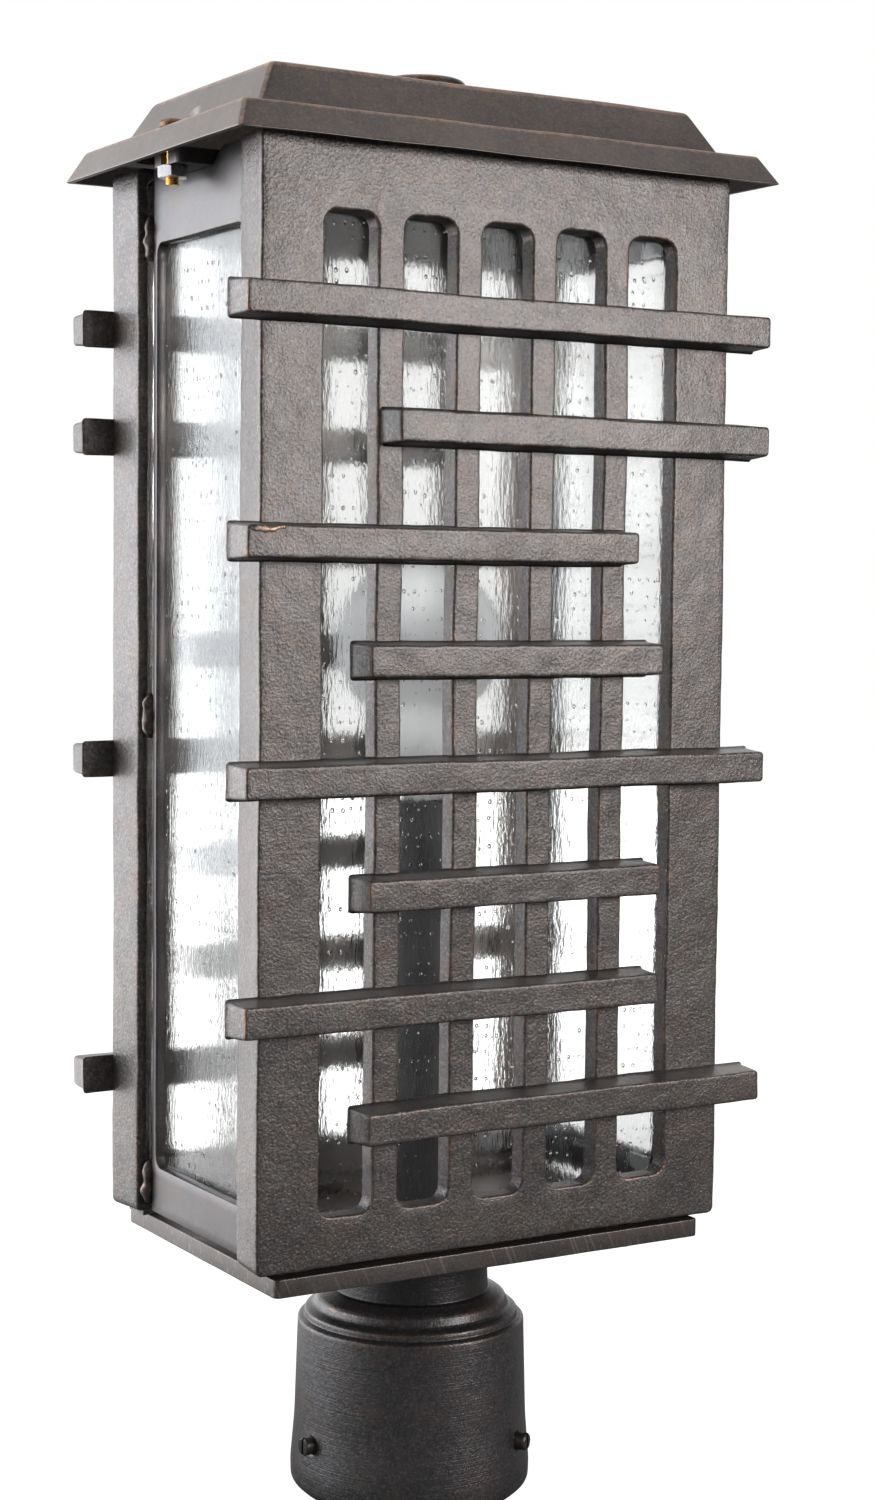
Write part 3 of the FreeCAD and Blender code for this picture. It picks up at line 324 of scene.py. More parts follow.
def build_piece(name, grids, finish, slot, body, *nodes, bores=(), sharp=38):
    """Join grids of (points, rub, closes round) into one welded mesh with outward faces, on its CAD body.

    A bore is (point, direction, radius): faces inside it go, and the points left in it move out to its wall.
    """
    points, rubs, quads, count = [], [], [], 0
    for grid, rub, closes in grids:
        index = count + np.arange(grid.shape[0] * grid.shape[1]).reshape(grid.shape[:2])
        here = index if closes else index[:, :-1]
        beside = np.roll(index, -1, 1) if closes else index[:, 1:]
        quads.append(np.stack([here[:-1], beside[:-1], beside[1:], here[1:]], -1).reshape(-1, 4))
        points.append(grid.reshape(-1, 3))
        rubs.append(np.broadcast_to(rub, grid.shape[:2]).ravel())
        count += index.size
    points, rubs, quads = np.concatenate(points), np.concatenate(rubs), np.concatenate(quads)
    for spot, way, radius in bores:
        along = (points - spot) @ way
        aside = points - spot - along[:, None] * way
        off = np.linalg.norm(aside, axis=1)
        within = (off < radius) & (along > 0)
        quads = quads[~within[quads].all(1)]
        points[within] += (aside * (radius / np.maximum(off, WELD) - 1)[:, None])[within]
    mesh = bpy.data.meshes.new(name)
    mesh.vertices.add(len(points))
    mesh.vertices.foreach_set("co", points.astype(np.float32).ravel())
    mesh.loops.add(quads.size)
    mesh.loops.foreach_set("vertex_index", quads.astype(np.int32).ravel())
    mesh.polygons.add(len(quads))
    mesh.polygons.foreach_set("loop_start", np.arange(0, quads.size, 4, dtype=np.int32))
    mesh.update(calc_edges=True)
    mesh.attributes.new("rub", "FLOAT", "POINT").data.foreach_set("value", rubs.astype(np.float32))
    shell = bmesh.new()
    shell.from_mesh(mesh)
    bmesh.ops.remove_doubles(shell, verts=shell.verts, dist=WELD)
    bmesh.ops.delete(shell, geom=[vert for vert in shell.verts if not vert.link_faces], context="VERTS")
    bmesh.ops.recalc_face_normals(shell, faces=shell.faces)
    shell.to_mesh(mesh)
    shell.free()
    mesh.shade_smooth()
    mesh.set_sharp_from_angle(angle=math.radians(sharp))
    mesh.materials.append(finish)
    piece = bpy.data.objects.new(name, mesh)
    scene.collection.objects.link(piece)
    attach(piece, body)
    if nodes:
        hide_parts(*nodes)
    return piece


def bronze(name, dark, light, grain, fleck, ripple=0.0, brush=0.0, rough=0.5, copper=0.75, scratch=0.0, even=0.0):
    """Oil-rubbed bronze paint on metal: cloudy brown grey, sand grain, pale specks, copper where edges are rubbed.

    Grain, ripple and brush are heights in metres: of the sand, of level ridges from the mould, and of lathe rings.
    Scratch is the share of slanted marks. Even keeps copper along a whole edge. A rub below 0 gets painted shade,
    and so do faces that point down: a near-black colour blended into the base colour.
    """
    material, shader, place = new_finish(name)
    fine = place.noise(1000.0, 2.0, 0.6)
    coarse = place.noise(330.0, 2.0)
    cloud = place.noise(38.0, 4.0, 0.6)
    patch = place.noise(85.0, 3.0)
    up = place.part("Z")
    deep = place.part("Y")
    deep = deep.math("ABSOLUTE", deep)
    ridges = place.stretch(45.0, 45.0, 620.0).noise(1.0, 2.0)
    rings = place.stretch(18.0, 18.0, 2600.0).noise(1.0, 2.0)
    facing = place.node("ShaderNodeNewGeometry", out="Normal")
    # Faces that point down: painted shade in their colour, with rougher paint and no coat.
    under = (facing.part("Z") * -1.0).between(0.35, 0.85)
    edge = place.node("ShaderNodeAttribute", {"attribute_name": "rub"}, out="Fac")
    worn = (edge + (fine - 0.5) * 1.1 + (coarse - 0.5) * 1.1).between(0.5, 1.2) * edge.between(0.0, 0.3)
    worn = worn * (patch.between(0.38, 0.62) * (1 - even) + even)
    tone = (cloud * 0.6 + coarse * 0.3 + fine * 0.1).between(0.36, 0.64)
    brown = (patch * 0.7 + coarse * 0.3).between(0.48, 0.62) * 0.5
    colour = brown.blend(tone.blend(dark, light), (light[0] * 1.05, light[1] * 0.88, light[2] * 0.77, 1))
    colour = (fine.between(0.53, 0.68) * fleck).blend(colour, PALE_SPECK)
    colour = ((1 - fine.between(0.34, 0.48)) * fleck).blend(colour, DARK_SPECK)
    slant = {"Vector": place, "Angle": SCRATCH_SLANT}
    turned = place.node("ShaderNodeVectorRotate", {"rotation_type": "Y_AXIS"}, slant)
    marks = turned.stretch(700.0, 700.0, 35.0).noise(1.0, 2.0).between(0.58, 0.68) * scratch
    colour = marks.blend(colour, SCRATCH_TONE)
    # Painted shade: the near-black colour is blended in where the rub is below 0, and on faces that point down.
    colour = ((edge * -1.0).between(0.0, 1.0) * 0.6).blend(colour, PAINTED_SHADE)
    colour = (under * 0.75).blend(colour, PAINTED_SHADE)
    colour = (worn * copper).blend(colour, COPPER)
    half_way = up.between(190 * MM, 250 * MM) * (1 - up.between(360 * MM, 405 * MM))
    on_web = cloud.between(0.48, 0.6) * half_way * (1 - deep.between(60.0 * MM, 61.5 * MM))
    height = fine * grain + coarse * (grain * 0.7) + ridges * ripple * on_web + rings * brush
    set_sockets(place, shader, {
        "Base Color": colour,
        "Metallic": 0.75,
        "Roughness": fine * 0.18 + (rough - 0.09) - worn * 0.08 + under * 0.3,
        "Coat Weight": 0.3 - under * 0.3,
        "Coat Roughness": 0.35,
        "Normal": height.bump(),
    })
    return material


fitter_paint = bronze(
    "fitter_paint", (0.072, 0.067, 0.069, 1), (0.110, 0.101, 0.102, 1), 0.15 * MM, 0.25,
    brush=0.12 * MM, rough=0.42, copper=0.3,
)
fitter_line, fitter_rub_and_shade = eased(np.array(FITTER_CORNERS) * MM, 1.2 * MM, closed=True)
fitter_rub_and_shade[fitter_line[:, 1] < FITTER_LIP] = 0
# The neck's rows get a rub of -1: painted shade, the shadow under the base plate darkened into its colour.
fitter_rub_and_shade[(fitter_line[:, 1] > FITTER_NECK) & (fitter_line[:, 0] < FITTER_NECK_REACH)] = -1
fitter_ways = [np.array((math.cos(angle), math.sin(angle), 0.0)) for angle in SCREW_ANGLES]
fitter_grids = [revolve(fitter_line, fitter_rub_and_shade, 320)]
fitter_bores = [(np.array((0, 0, SCREW_HEIGHT)), way, SCREW_HOLE) for way in fitter_ways]
for way in fitter_ways:
    turn = np.linspace(0, 2 * np.pi, 40, endpoint=False)
    wall = np.linspace(*SCREW_WALL, 4)[:, None, None] * MM * way
    sideways = np.array((-way[1], way[0], 0.0))
    ring = np.cos(turn)[:, None] * sideways + np.sin(turn)[:, None] * np.array((0, 0, 1.0))
    lining = wall + SCREW_HOLE * ring + np.array((0, 0, SCREW_HEIGHT))
    fitter_grids.append((lining, 0.0, True))
build_piece("post_fitter_cup", fitter_grids, fitter_paint, "fitter_paint", "lantern", "post_fitter", bores=fitter_bores)

# Set screws: three headless slotted steel screws, blackened, in tapped holes through the fitter's wall.
# Their tails stand out of the cup, and a turn drives their points against the post.


def plain_metal(name, colour, other, rough, metallic=1.0, scratch=0.01 * MM):
    """Bare or plated metal: two near tones in fine clouds, and fine scratches that break its shine."""
    material, shader, place = new_finish(name)
    cloud = place.noise(160.0, 3.0)
    fine = place.stretch(1500.0, 1500.0, 500.0).noise(1.0, 3.0)
    edge = place.node("ShaderNodeAttribute", {"attribute_name": "rub"}, out="Fac")
    set_sockets(place, shader, {
        "Base Color": (cloud * 0.7 + fine * 0.3 + edge * 0.3).between(0.35, 0.7).blend(colour, other),
        "Metallic": metallic,
        "Roughness": fine * 0.2 + (rough - 0.1),
        "Normal": (fine * scratch).bump(),
    })
    return material


def dress(finish, *nodes):
    """Give CAD nodes whose shape is right a finish of their own."""
    for node in nodes:
        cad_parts[node].data.materials.clear()
        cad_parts[node].data.materials.append(finish)


black_steel = plain_metal("black_steel", (0.030, 0.027, 0.026, 1), (0.10, 0.085, 0.075, 1), 0.38, 0.6)
dress(black_steel, "set_screw_1", "set_screw_2", "set_screw_3")

# Base plate: a flat aluminium plate that carries the whole box, bolted to the fitter's neck by the lamp's stem.
# Sawn from sheet and painted, so its edges are crisp, rubbed to copper and marked by slanted scratches.
PLATE_LOW, PLATE_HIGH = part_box("base_plate")
PLATE_CORNER = 2.0 * MM
PLATE_EASE = 0.5 * MM


def round_box_loop(long_steps, short_steps, quarter):
    """Points round a rectangle with round corners, counter-clockwise from the lower end of the right side.

    Each is a core place, -1 to 1 each way, and an outward way: point = core * (half - corner) + way * corner. The
    quarter lists the angles of a corner's points between its two sides.
    """
    upright = np.linspace(-1, 1, short_steps + 1)
    level = np.linspace(1, -1, long_steps + 1)
    bend = np.ones_like(quarter)
    core_x = [np.ones_like(upright), bend, level, -bend, -np.ones_like(upright), -bend, -level, bend]
    core_y = [upright, bend, np.ones_like(level), bend, -upright, -bend, -np.ones_like(level), -bend]
    angle = []
    for side, straight in enumerate((upright, level, upright, level)):
        angle += [np.full_like(straight, side * np.pi / 2), side * np.pi / 2 + quarter]
    angle = np.concatenate(angle)
    return np.stack([np.concatenate(core_x), np.concatenate(core_y)], -1), np.stack([np.cos(angle), np.sin(angle)], -1)


def round_rings(half, corner, loop):
    """Flat rings of a round-cornered rectangle, ring k with the half sizes half[k]."""
    core, way = loop
    radius = np.minimum(corner, half.min(1))[:, None, None]
    return core * (half[:, None, :] - radius) + way * radius


def lay(flat, level):
    """(across, along) points laid level at one height for each row: (x, y, z)."""
    return np.concatenate([flat, np.broadcast_to(level[:, None, None], flat.shape[:2] + (1,))], -1)


def slab(half_width, half_depth, low, high, corner, ease, step, loop):
    """Closed plate: an eased edge carried round a rectangle, with both faces closed in on the middle line."""
    edge, rub = eased([(half_depth, low, 0.0), (0.0, low, ease), (0.0, high, ease), (half_depth, high, 0.0)], step)
    half = np.array((half_width, half_depth)) - edge[:, :1]
    return lay(round_rings(half, corner, loop), edge[:, 1]), np.where(rub > 0, 1.0, 0.0)[:, None], True


plate_paint = bronze(
    "plate_paint", (0.085, 0.073, 0.070, 1), (0.125, 0.107, 0.100, 1), 0.02 * MM, 0.2, rough=0.42, scratch=0.5,
)
plate = slab(
    PLATE_HIGH.x, PLATE_HIGH.y, PLATE_LOW.z, PLATE_HIGH.z, PLATE_CORNER, PLATE_EASE, 3.0 * MM,
    round_box_loop(60, 40, np.linspace(0, np.pi / 2, 9)[1:-1]),
)
plate = (uneven(plate[0], 30 * MM, 0.06 * MM, 11), plate[1], True)
build_piece("base_plate_sheet", [plate], plate_paint, "plate_paint", "lantern", "base_plate")

# Base screws and ground screw: pan screws, the four black ones up into the panels from below.
# The green one on the plate takes the ground wire.
green_steel = plain_metal("green_steel", (0.02, 0.16, 0.05, 1), (0.05, 0.28, 0.10, 1), 0.35, 0.2)
dress(black_steel, "base_screws")
dress(green_steel, "ground_screw")

# Lamp holder: a threaded steel stem with two lock nuts, a painted sleeve over it and a black moulded holder
# with a brass screw shell and centre contact inside.
SLEEVE_LOW, SLEEVE_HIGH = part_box("lamp_sleeve")
SLEEVE_WALL = 1.0 * MM
zinc_steel = plain_metal("zinc_steel", (0.52, 0.52, 0.54, 1), (0.70, 0.70, 0.71, 1), 0.30)
shell_brass = plain_metal("shell_brass", (0.52, 0.34, 0.13, 1), (0.72, 0.52, 0.24, 1), 0.28)
dress(zinc_steel, "stem", "lower_lock_nut", "upper_lock_nut")
dress(shell_brass, "holder_shell", "holder_contact")


def satin_plastic(name, colour, other, rough):
    """Moulded or painted smooth surface: two near tones and a faint orange-peel unevenness."""
    material, shader, place = new_finish(name)
    cloud = place.noise(90.0, 3.0)
    peel = place.noise(900.0, 1.0)
    set_sockets(place, shader, {
        "Base Color": cloud.between(0.35, 0.65).blend(colour, other),
        "Roughness": peel * 0.12 + (rough - 0.06),
        "Normal": (peel * (0.01 * MM)).bump(),
    })
    return material


holder_black = satin_plastic("holder_black", (0.016, 0.016, 0.017, 1), (0.03, 0.03, 0.031, 1), 0.35)
sleeve_paint = satin_plastic("sleeve_paint", (0.045, 0.043, 0.046, 1), (0.062, 0.059, 0.062, 1), 0.36)
dress(holder_black, "holder_body")
sleeve_outer = SLEEVE_HIGH.x
sleeve_line, sleeve_rub = eased([
    (sleeve_outer - SLEEVE_WALL, SLEEVE_LOW.z, 0.2 * MM), (sleeve_outer, SLEEVE_LOW.z, 0.2 * MM),
    (sleeve_outer, SLEEVE_HIGH.z, 0.3 * MM), (sleeve_outer - SLEEVE_WALL, SLEEVE_HIGH.z, 0.3 * MM),
], 8.0 * MM, closed=True)
build_piece(
    "lamp_sleeve_tube", [revolve(sleeve_line, sleeve_rub, 96)], sleeve_paint, "sleeve_paint", "lantern", "lamp_sleeve",
)

# Lamp: a frosted glass bulb on a rolled aluminium screw base, with a black glass insulator and a tin eyelet.
# It screws into the holder's shell and comes out upwards.
LAMP_LOW, LAMP_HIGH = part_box("lamp_glass")
BASE_LOW, BASE_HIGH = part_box("lamp_base")
THREAD_PITCH = 3.6 * MM
THREAD_DEPTH = 0.55 * MM
GLOBE_END = 0.62
NECK_FLARE = 1.5 * MM
tin_metal = plain_metal("tin_metal", (0.55, 0.55, 0.54, 1), (0.74, 0.74, 0.73, 1), 0.27)
insulator_glass = satin_plastic("insulator_glass", (0.010, 0.010, 0.012, 1), (0.02, 0.02, 0.022, 1), 0.12)
dress(tin_metal, "lamp_eyelet")
dress(insulator_glass, "lamp_insulator")


def threaded(line, low, high, pitch, depth, count):
    """A revolved line whose radius sinks by a cosine along a helix between two heights, as a rolled thread."""
    points, rub, closes = revolve(line, np.zeros(len(line)), count)
    turn = np.linspace(0, 1, count, endpoint=False)
    height = points[..., 2]
    fade = np.clip((height - low) / pitch, 0, 1) * np.clip((high - height) / pitch, 0, 1)
    sink = depth * fade * (0.5 - 0.5 * np.cos(2 * np.pi * (height / pitch - turn)))
    radius = np.linalg.norm(points[..., :2], axis=-1, keepdims=True)
    points[..., :2] *= 1 - sink[..., None] / np.maximum(radius, depth)
    return points, rub, closes


base_radius = BASE_HIGH.x
base_line, _ = eased([
    (8.1 * MM, BASE_LOW.z, 0.0), (base_radius - 2.5 * MM, BASE_LOW.z, 0.8 * MM),
    (base_radius, BASE_LOW.z + 2.5 * MM, 1.0 * MM), (base_radius, BASE_HIGH.z, 0.3 * MM),
    (base_radius - 1.4 * MM, BASE_HIGH.z, 0.0),
], 0.3 * MM)
lamp_thread = threaded(base_line, BASE_LOW.z + 2.5 * MM, BASE_HIGH.z - 3.0 * MM, THREAD_PITCH, THREAD_DEPTH, 96)
build_piece("lamp_base_shell", [lamp_thread], tin_metal, "lamp_metal", "lamp", "lamp_base")

lamp_radius = LAMP_HIGH.x
lamp_middle = LAMP_HIGH.z - lamp_radius
neck_radius = 12.0 * MM
neck_top = BASE_HIGH.z - 0.5 * MM
down = np.linspace(np.pi / 2, -GLOBE_END, 60)
globe = np.stack([lamp_radius * np.cos(down), lamp_middle + lamp_radius * np.sin(down)], -1)
waist = np.linspace(0, 1, 40)[1:, None]
leave, arrive = globe[-1], np.array((neck_radius, neck_top))
fall = (leave[0] - neck_radius - NECK_FLARE) / math.tan(GLOBE_END) * 0.75
bend = np.array((neck_radius + NECK_FLARE, leave[1] - fall))
skirt = (1 - waist) ** 2 * leave + 2 * waist * (1 - waist) * bend + waist ** 2 * arrive
tail = np.array([(neck_radius, LAMP_LOW.z), (0.0, LAMP_LOW.z)])
bulb_line = np.concatenate([globe, skirt, tail])
bulb_line[0, 0] = 0.0


def frosted_glass(name):
    """Bulb glass frosted white inside: milky white under a smooth clear skin."""
    material, shader, place = new_finish(name)
    cloud = place.noise(60.0, 2.0)
    set_sockets(place, shader, {
        "Base Color": cloud.between(0.3, 0.7).blend((0.96, 0.96, 0.97, 1), (0.99, 0.99, 1.0, 1)),
        "Roughness": cloud * 0.1 + 0.55,
        "IOR": 1.15,
        "Transmission Weight": 0.74,
        "Coat Weight": 0.2,
        "Coat Roughness": 0.1,
    })
    return material


build_piece(
    "lamp_glass_bulb", [revolve(bulb_line, np.zeros(len(bulb_line)), 96)],
    frosted_glass("frosted_glass"), "lamp_glass", "lamp", "lamp_glass",
)

# Cast panels: front and back are one sand casting, a web with five tall slots, a rim behind and eight bars in front.
# Its faces keep the sand's grain and ripples of the mould, and its arrises are rubbed through to copper.
PANEL_LOW, PANEL_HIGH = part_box("front_panel")
WEB_FACE = -59.0 * MM
WEB_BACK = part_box("front_glass")[0].y
RIM_END = PANEL_HIGH.y
BAR_FACE = PANEL_LOW.y
PANEL_HALF = 93.0 * MM
PANEL_FOOT = PANEL_LOW.z + 1.6 * MM
PANEL_TOP = PANEL_HIGH.z
PANEL_CORNER = 2.5 * MM
CAVITY_HALF = 87.1 * MM
CAVITY_FOOT = PANEL_LOW.z + 4.0 * MM
CAVITY_TOP = PANEL_TOP - 4.0 * MM
CAVITY_CORNER = 3.0 * MM
EDGE_DRAFT = 1.9 * MM
SLOT_COUNT = 5
SLOT_PITCH = 30.0 * MM
SLOT_PLACES = [(number - (SLOT_COUNT - 1) / 2) * SLOT_PITCH for number in range(SLOT_COUNT)]
SLOT_HALF = 10.0 * MM
SLOT_LOW = 118.5 * MM
SLOT_HIGH = 450.0 * MM
SLOT_CORNER = 5.0 * MM
SLOT_DRAFT = 0.4 * MM
SLOT_EASE = 0.9 * MM
BAR_COUNT = 8
BAR_HALF_HEIGHT = 6.0 * MM
FIRST_BAR = 149.4 * MM
LAST_BAR = 418.9 * MM
BAR_DRAFT = 0.7 * MM
BAR_DRAFT_RUN = 12 * MM
BAR_EASE = 0.8 * MM
BAR_CORNER = 1.3 * MM
LONG, MID, SHORT = PANEL_HIGH.x, 59.0 * MM, 48.5 * MM
BAR_REACHES = [
    (MID, LONG), (LONG, MID), (MID, MID), (LONG, LONG), (MID, MID), (LONG, SHORT), (SHORT, LONG), (LONG, LONG),
]
EDGE_EASE = 0.9 * MM
FLASH_BAR = 5
FLASH_LENGTH = 13.0 * MM
FLASH_HEIGHT = 1.3 * MM
FLASH_DEPTH = 0.4 * MM
FACE_ROWS = 6
BORDER_START = 0.0123


def slot_loop():
    """Points round a slot: sides in even steps, corners with more points near their middle, which meet the border."""
    share = np.array((0.15, 0.35, 0.6, 0.8, 0.9, 0.945, 0.975, 0.99, 1.0))
    rising = np.arctan(share)
    return round_box_loop(6, 108, np.concatenate([rising, np.pi / 2 - rising[-2::-1]]))


def slotted_face(half, foot, top, corner, grow, loop):
    """Flat face round the slots, as (across, up) grids, and the points along its border in order.

    A slot's cell runs from the slot's outline, core + way * radius, out to a rectangle, core + square * margin,
    where square is the way scaled until its larger part is 1. The plain margins beside the outer slots share the
    cells' rows and end on a border with round corners.
    """
    core, way = loop
    square = way / np.abs(way).max(1, keepdims=True)
    middle = (SLOT_LOW + SLOT_HIGH) / 2
    core = core * (SLOT_HALF - SLOT_CORNER, (SLOT_HIGH - SLOT_LOW) / 2 - SLOT_CORNER)
    room = np.where(way[:, 1] > 0, top - middle, middle - foot)
    margin = np.stack([SLOT_PITCH / 2 + 0 * room, room], -1) - np.abs(core)
    share = np.linspace(0, 1, FACE_ROWS)[:, None, None]
    cell = core + (1 - share) * way * (SLOT_CORNER + grow) + share * square * margin
    grids = [(cell + (place, middle), True) for place in SLOT_PLACES]
    rims = np.concatenate([grid[-1] for grid, _ in grids])
    borders = [rims[(np.abs(rims[:, 1] - top) < WELD) | (np.abs(rims[:, 1] - foot) < WELD)]]
    outer_edge = SLOT_COUNT * SLOT_PITCH / 2
    rows = np.unique(np.round(rims[np.abs(rims[:, 0] - outer_edge) < WELD][:, 1], 7))
    into_corner = np.clip(np.maximum(foot + corner - rows, rows - top + corner), 0, corner)
    reach = half - corner + np.sqrt(corner ** 2 - into_corner ** 2)
    across = outer_edge + (reach[:, None] - outer_edge) * np.linspace(0, 1, FACE_ROWS + 3)
    strip = np.stack([across, np.broadcast_to(rows[:, None], across.shape)], -1)
    for side in (-1, 1):
        grids.append((strip * (side, 1), False))
        borders += [grids[-1][0][:, -1], grids[-1][0][0], grids[-1][0][-1]]
    border = np.concatenate(borders)
    border = border[np.unique(np.round(border / WELD), axis=0, return_index=True)[1]]
    turn = np.arctan2(border[:, 1] - middle, border[:, 0])
    return grids, border[np.argsort((turn - BORDER_START) % (2 * np.pi))]


def outline_ways(border, half, foot, top, corner):
    """Core place and outward direction of points that lie on a round-cornered outline."""
    core = np.clip(border, (corner - half, foot + corner), (half - corner, top - corner))
    return core, (border - core) / np.linalg.norm(border - core, axis=1, keepdims=True)


def stand(flat, depth):
    """(across, up) points set upright at a depth, one depth for each row: (x, y, z)."""
    depth = np.broadcast_to(np.reshape(depth, (-1,) + (1,) * (flat.ndim - 2)), flat.shape[:-1])
    return np.stack([flat[..., 0], depth, flat[..., 1]], -1)


def panel_block():
    """The casting without its bars: slotted faces, slot walls, and the rim carried round the border.

    The rim's section starts at the front face's border, turns over the rounded edge, runs back along the drafted
    side, over the rim's end and down the cavity's wall to the border of the web's back face.
    """
    loop = slot_loop()
    quarter = np.linspace(0, np.pi / 2, 5)
    outline = (PANEL_HALF - EDGE_EASE, PANEL_FOOT + EDGE_EASE, PANEL_TOP - EDGE_EASE, PANEL_CORNER - EDGE_EASE)
    front, front_border = slotted_face(*outline, SLOT_EASE, loop)
    back, back_border = slotted_face(CAVITY_HALF, CAVITY_FOOT, CAVITY_TOP, CAVITY_CORNER, -SLOT_DRAFT, loop)
    grids = [(stand(grid, WEB_FACE), 0.0, closes) for grid, closes in front]
    grids += [(stand(grid, WEB_BACK), 0.0, closes) for grid, closes in back]

    core, way = loop
    core = core * (SLOT_HALF - SLOT_CORNER, (SLOT_HIGH - SLOT_LOW) / 2 - SLOT_CORNER)
    grow = np.concatenate([SLOT_EASE * (1 - np.sin(quarter)), -SLOT_DRAFT * np.array((0.3, 0.7, 1.0))])
    depth = np.concatenate([
        WEB_FACE + SLOT_EASE * (1 - np.cos(quarter)), np.linspace(WEB_FACE + SLOT_EASE, WEB_BACK, 4)[1:],
    ])
    wall = core + way * (SLOT_CORNER + grow)[:, None, None]
    rub = np.array((0.5, 0.9, 1.0, 0.8, 0.3, 0.0, 0.0, 0.0))[:, None]
    for place in SLOT_PLACES:
        grids.append((stand(wall + (place, (SLOT_LOW + SLOT_HIGH) / 2), depth), rub, True))

    core, way = outline_ways(front_border, *outline)
    side = np.linspace(WEB_FACE + EDGE_EASE, RIM_END - EDGE_EASE, 8)[1:-1]
    out = EDGE_EASE * np.concatenate([np.sin(quarter), np.ones_like(side), np.cos(quarter)])
    depth = np.concatenate([
        WEB_FACE + EDGE_EASE * (1 - np.cos(quarter)), side, RIM_END - EDGE_EASE * (1 - np.sin(quarter)),
    ])
    rim = stand(core + way * (outline[-1] + out)[:, None, None], depth)
    rim[..., 0] *= (1 - EDGE_DRAFT / PANEL_HALF * (depth - WEB_FACE) / (RIM_END - WEB_FACE))[:, None]
    rim_rub = np.concatenate([(0.2, 0.5, 0.6, 0.5, 0.2), np.zeros_like(side), (0.2, 0.6, 0.7, 0.6, 0.2)])

    core, way = outline_ways(back_border, CAVITY_HALF, CAVITY_FOOT, CAVITY_TOP, CAVITY_CORNER)
    grow = np.concatenate([EDGE_EASE * (1 - np.sin(quarter)), np.zeros(3)])
    depth = np.concatenate([
        RIM_END - EDGE_EASE * (1 - np.cos(quarter)), np.linspace(RIM_END - EDGE_EASE, WEB_BACK, 4)[1:],
    ])
    cavity = stand(core + way * (CAVITY_CORNER + grow)[:, None, None], depth)
    rub = np.concatenate([rim_rub, np.zeros(len(depth))])[:, None]
    grids.append((np.concatenate([rim, cavity]), rub, True))
    return grids


def panel_bar(left, right, level):
    """One bar as a closed skin: round-cornered rings from its sunk back, over a root fillet, up its drafted sides
    and over the rounded front edge to a front face that closes on its middle line."""
    loop = round_box_loop(50, 4, np.linspace(0, np.pi / 2, 6)[1:-1])
    quarter = np.linspace(0, np.pi / 2, 5)
    rise = np.array((1.4, 3.5, 6.0, 8.5, 10.4)) * MM
    front_inset = BAR_DRAFT + BAR_EASE * (1 - np.cos(quarter))
    face = np.linspace(front_inset[-1] + 0.7 * MM, BAR_HALF_HEIGHT, 5)
    inset = np.concatenate([
        (BAR_HALF_HEIGHT, 3.0 * MM, 0.0), (-0.6 * MM, -0.15 * MM), BAR_DRAFT * rise / BAR_DRAFT_RUN, front_inset, face,
    ])
    depth = np.concatenate([
        np.full(3, WEB_FACE + 0.5 * MM), WEB_FACE - np.array((-0.2, 0.5)) * MM, WEB_FACE - rise,
        BAR_FACE + BAR_EASE * (1 - np.sin(quarter)), np.full(5, BAR_FACE),
    ])
    rub = np.concatenate([np.zeros(10), (0.5, 1.0, 1.0, 1.0, 0.6), np.zeros(5)])
    half = np.array(((left + right) / 2, BAR_HALF_HEIGHT)) - inset[:, None]
    flat = round_rings(np.maximum(half, 0), BAR_CORNER, loop) + ((right - left) / 2, level)
    points = stand(flat, depth)
    ends = np.clip((np.abs(loop[1][:, 0]) - 0.3) * 2, 0, 1)
    return points, rub[:, None] * (0.65 + 0.65 * ends), True


def foot_strip():
    """Strip under the rim that stands on the base plate, so that the web ends a little above it."""
    half = np.array((PANEL_HALF - EDGE_DRAFT - PANEL_CORNER, (RIM_END - WEB_BACK) / 2))
    inset = np.array((half[1], 0.0, 0.0, half[1]))
    flat = round_rings(half - inset[:, None], 0.5 * MM, round_box_loop(20, 2, np.array((np.pi / 4,))))
    level = np.array((PANEL_LOW.z, PANEL_LOW.z, PANEL_FOOT + 0.5 * MM, PANEL_FOOT + 0.5 * MM))
    return lay(flat + (0, (RIM_END + WEB_BACK) / 2), level), 0.0, True


def mould_flash(level):
    """Ragged ridge that the mould left along a bar's upper edge, at its left end: a tapered, lumpy flat tube."""
    along = np.linspace(0, 1, 70)[:, None]
    turn = np.linspace(0, 2 * np.pi, 14, endpoint=False)
    taper = np.sqrt(np.maximum(0, 1 - (2 * along - 1) ** 6)) * (1 - 0.5 * along)
    across = 1.5 * MM - LONG + FLASH_LENGTH * along + 0 * turn
    path = np.stack([across, BAR_FACE + 0 * across, level + 0 * across], -1)
    swell = taper * (1 + 0.45 * lumps(path, 4 * MM, 15))
    rise = FLASH_HEIGHT * swell * np.sin(turn) + 0.4 * MM * lumps(path, 7 * MM, 16)
    return path + np.stack([0 * across, FLASH_DEPTH * swell * np.cos(turn), rise], -1), 1.6, True


panel_paint = bronze(
    "panel_paint", (0.090, 0.079, 0.076, 1), (0.135, 0.120, 0.114, 1), 0.24 * MM, 0.40, ripple=0.10 * MM, rough=0.43,
)
for panel, side, seed in (("front", 1, 20), ("back", -1, 40)):
    casting = panel_block() + [foot_strip()]
    for number, (left, right) in enumerate(BAR_REACHES):
        level = FIRST_BAR + number * (LAST_BAR - FIRST_BAR) / (BAR_COUNT - 1)
        casting.append(panel_bar(left, right, level))
        if panel == "front" and number == FLASH_BAR:
            casting.append(mould_flash(level + BAR_HALF_HEIGHT - BAR_DRAFT - FLASH_HEIGHT))
    turned = np.array((side, side, 1))
    rough_cast = []
    for points, rub, closes in casting:
        points = uneven(uneven(points, 70 * MM, 0.25 * MM, seed), 11 * MM, 0.10 * MM, seed + 10)
        rough_cast.append((points * turned, rub, closes))
    build_piece(f"{panel}_panel_casting", rough_cast, panel_paint, "panel_paint", "lantern", f"{panel}_panel")

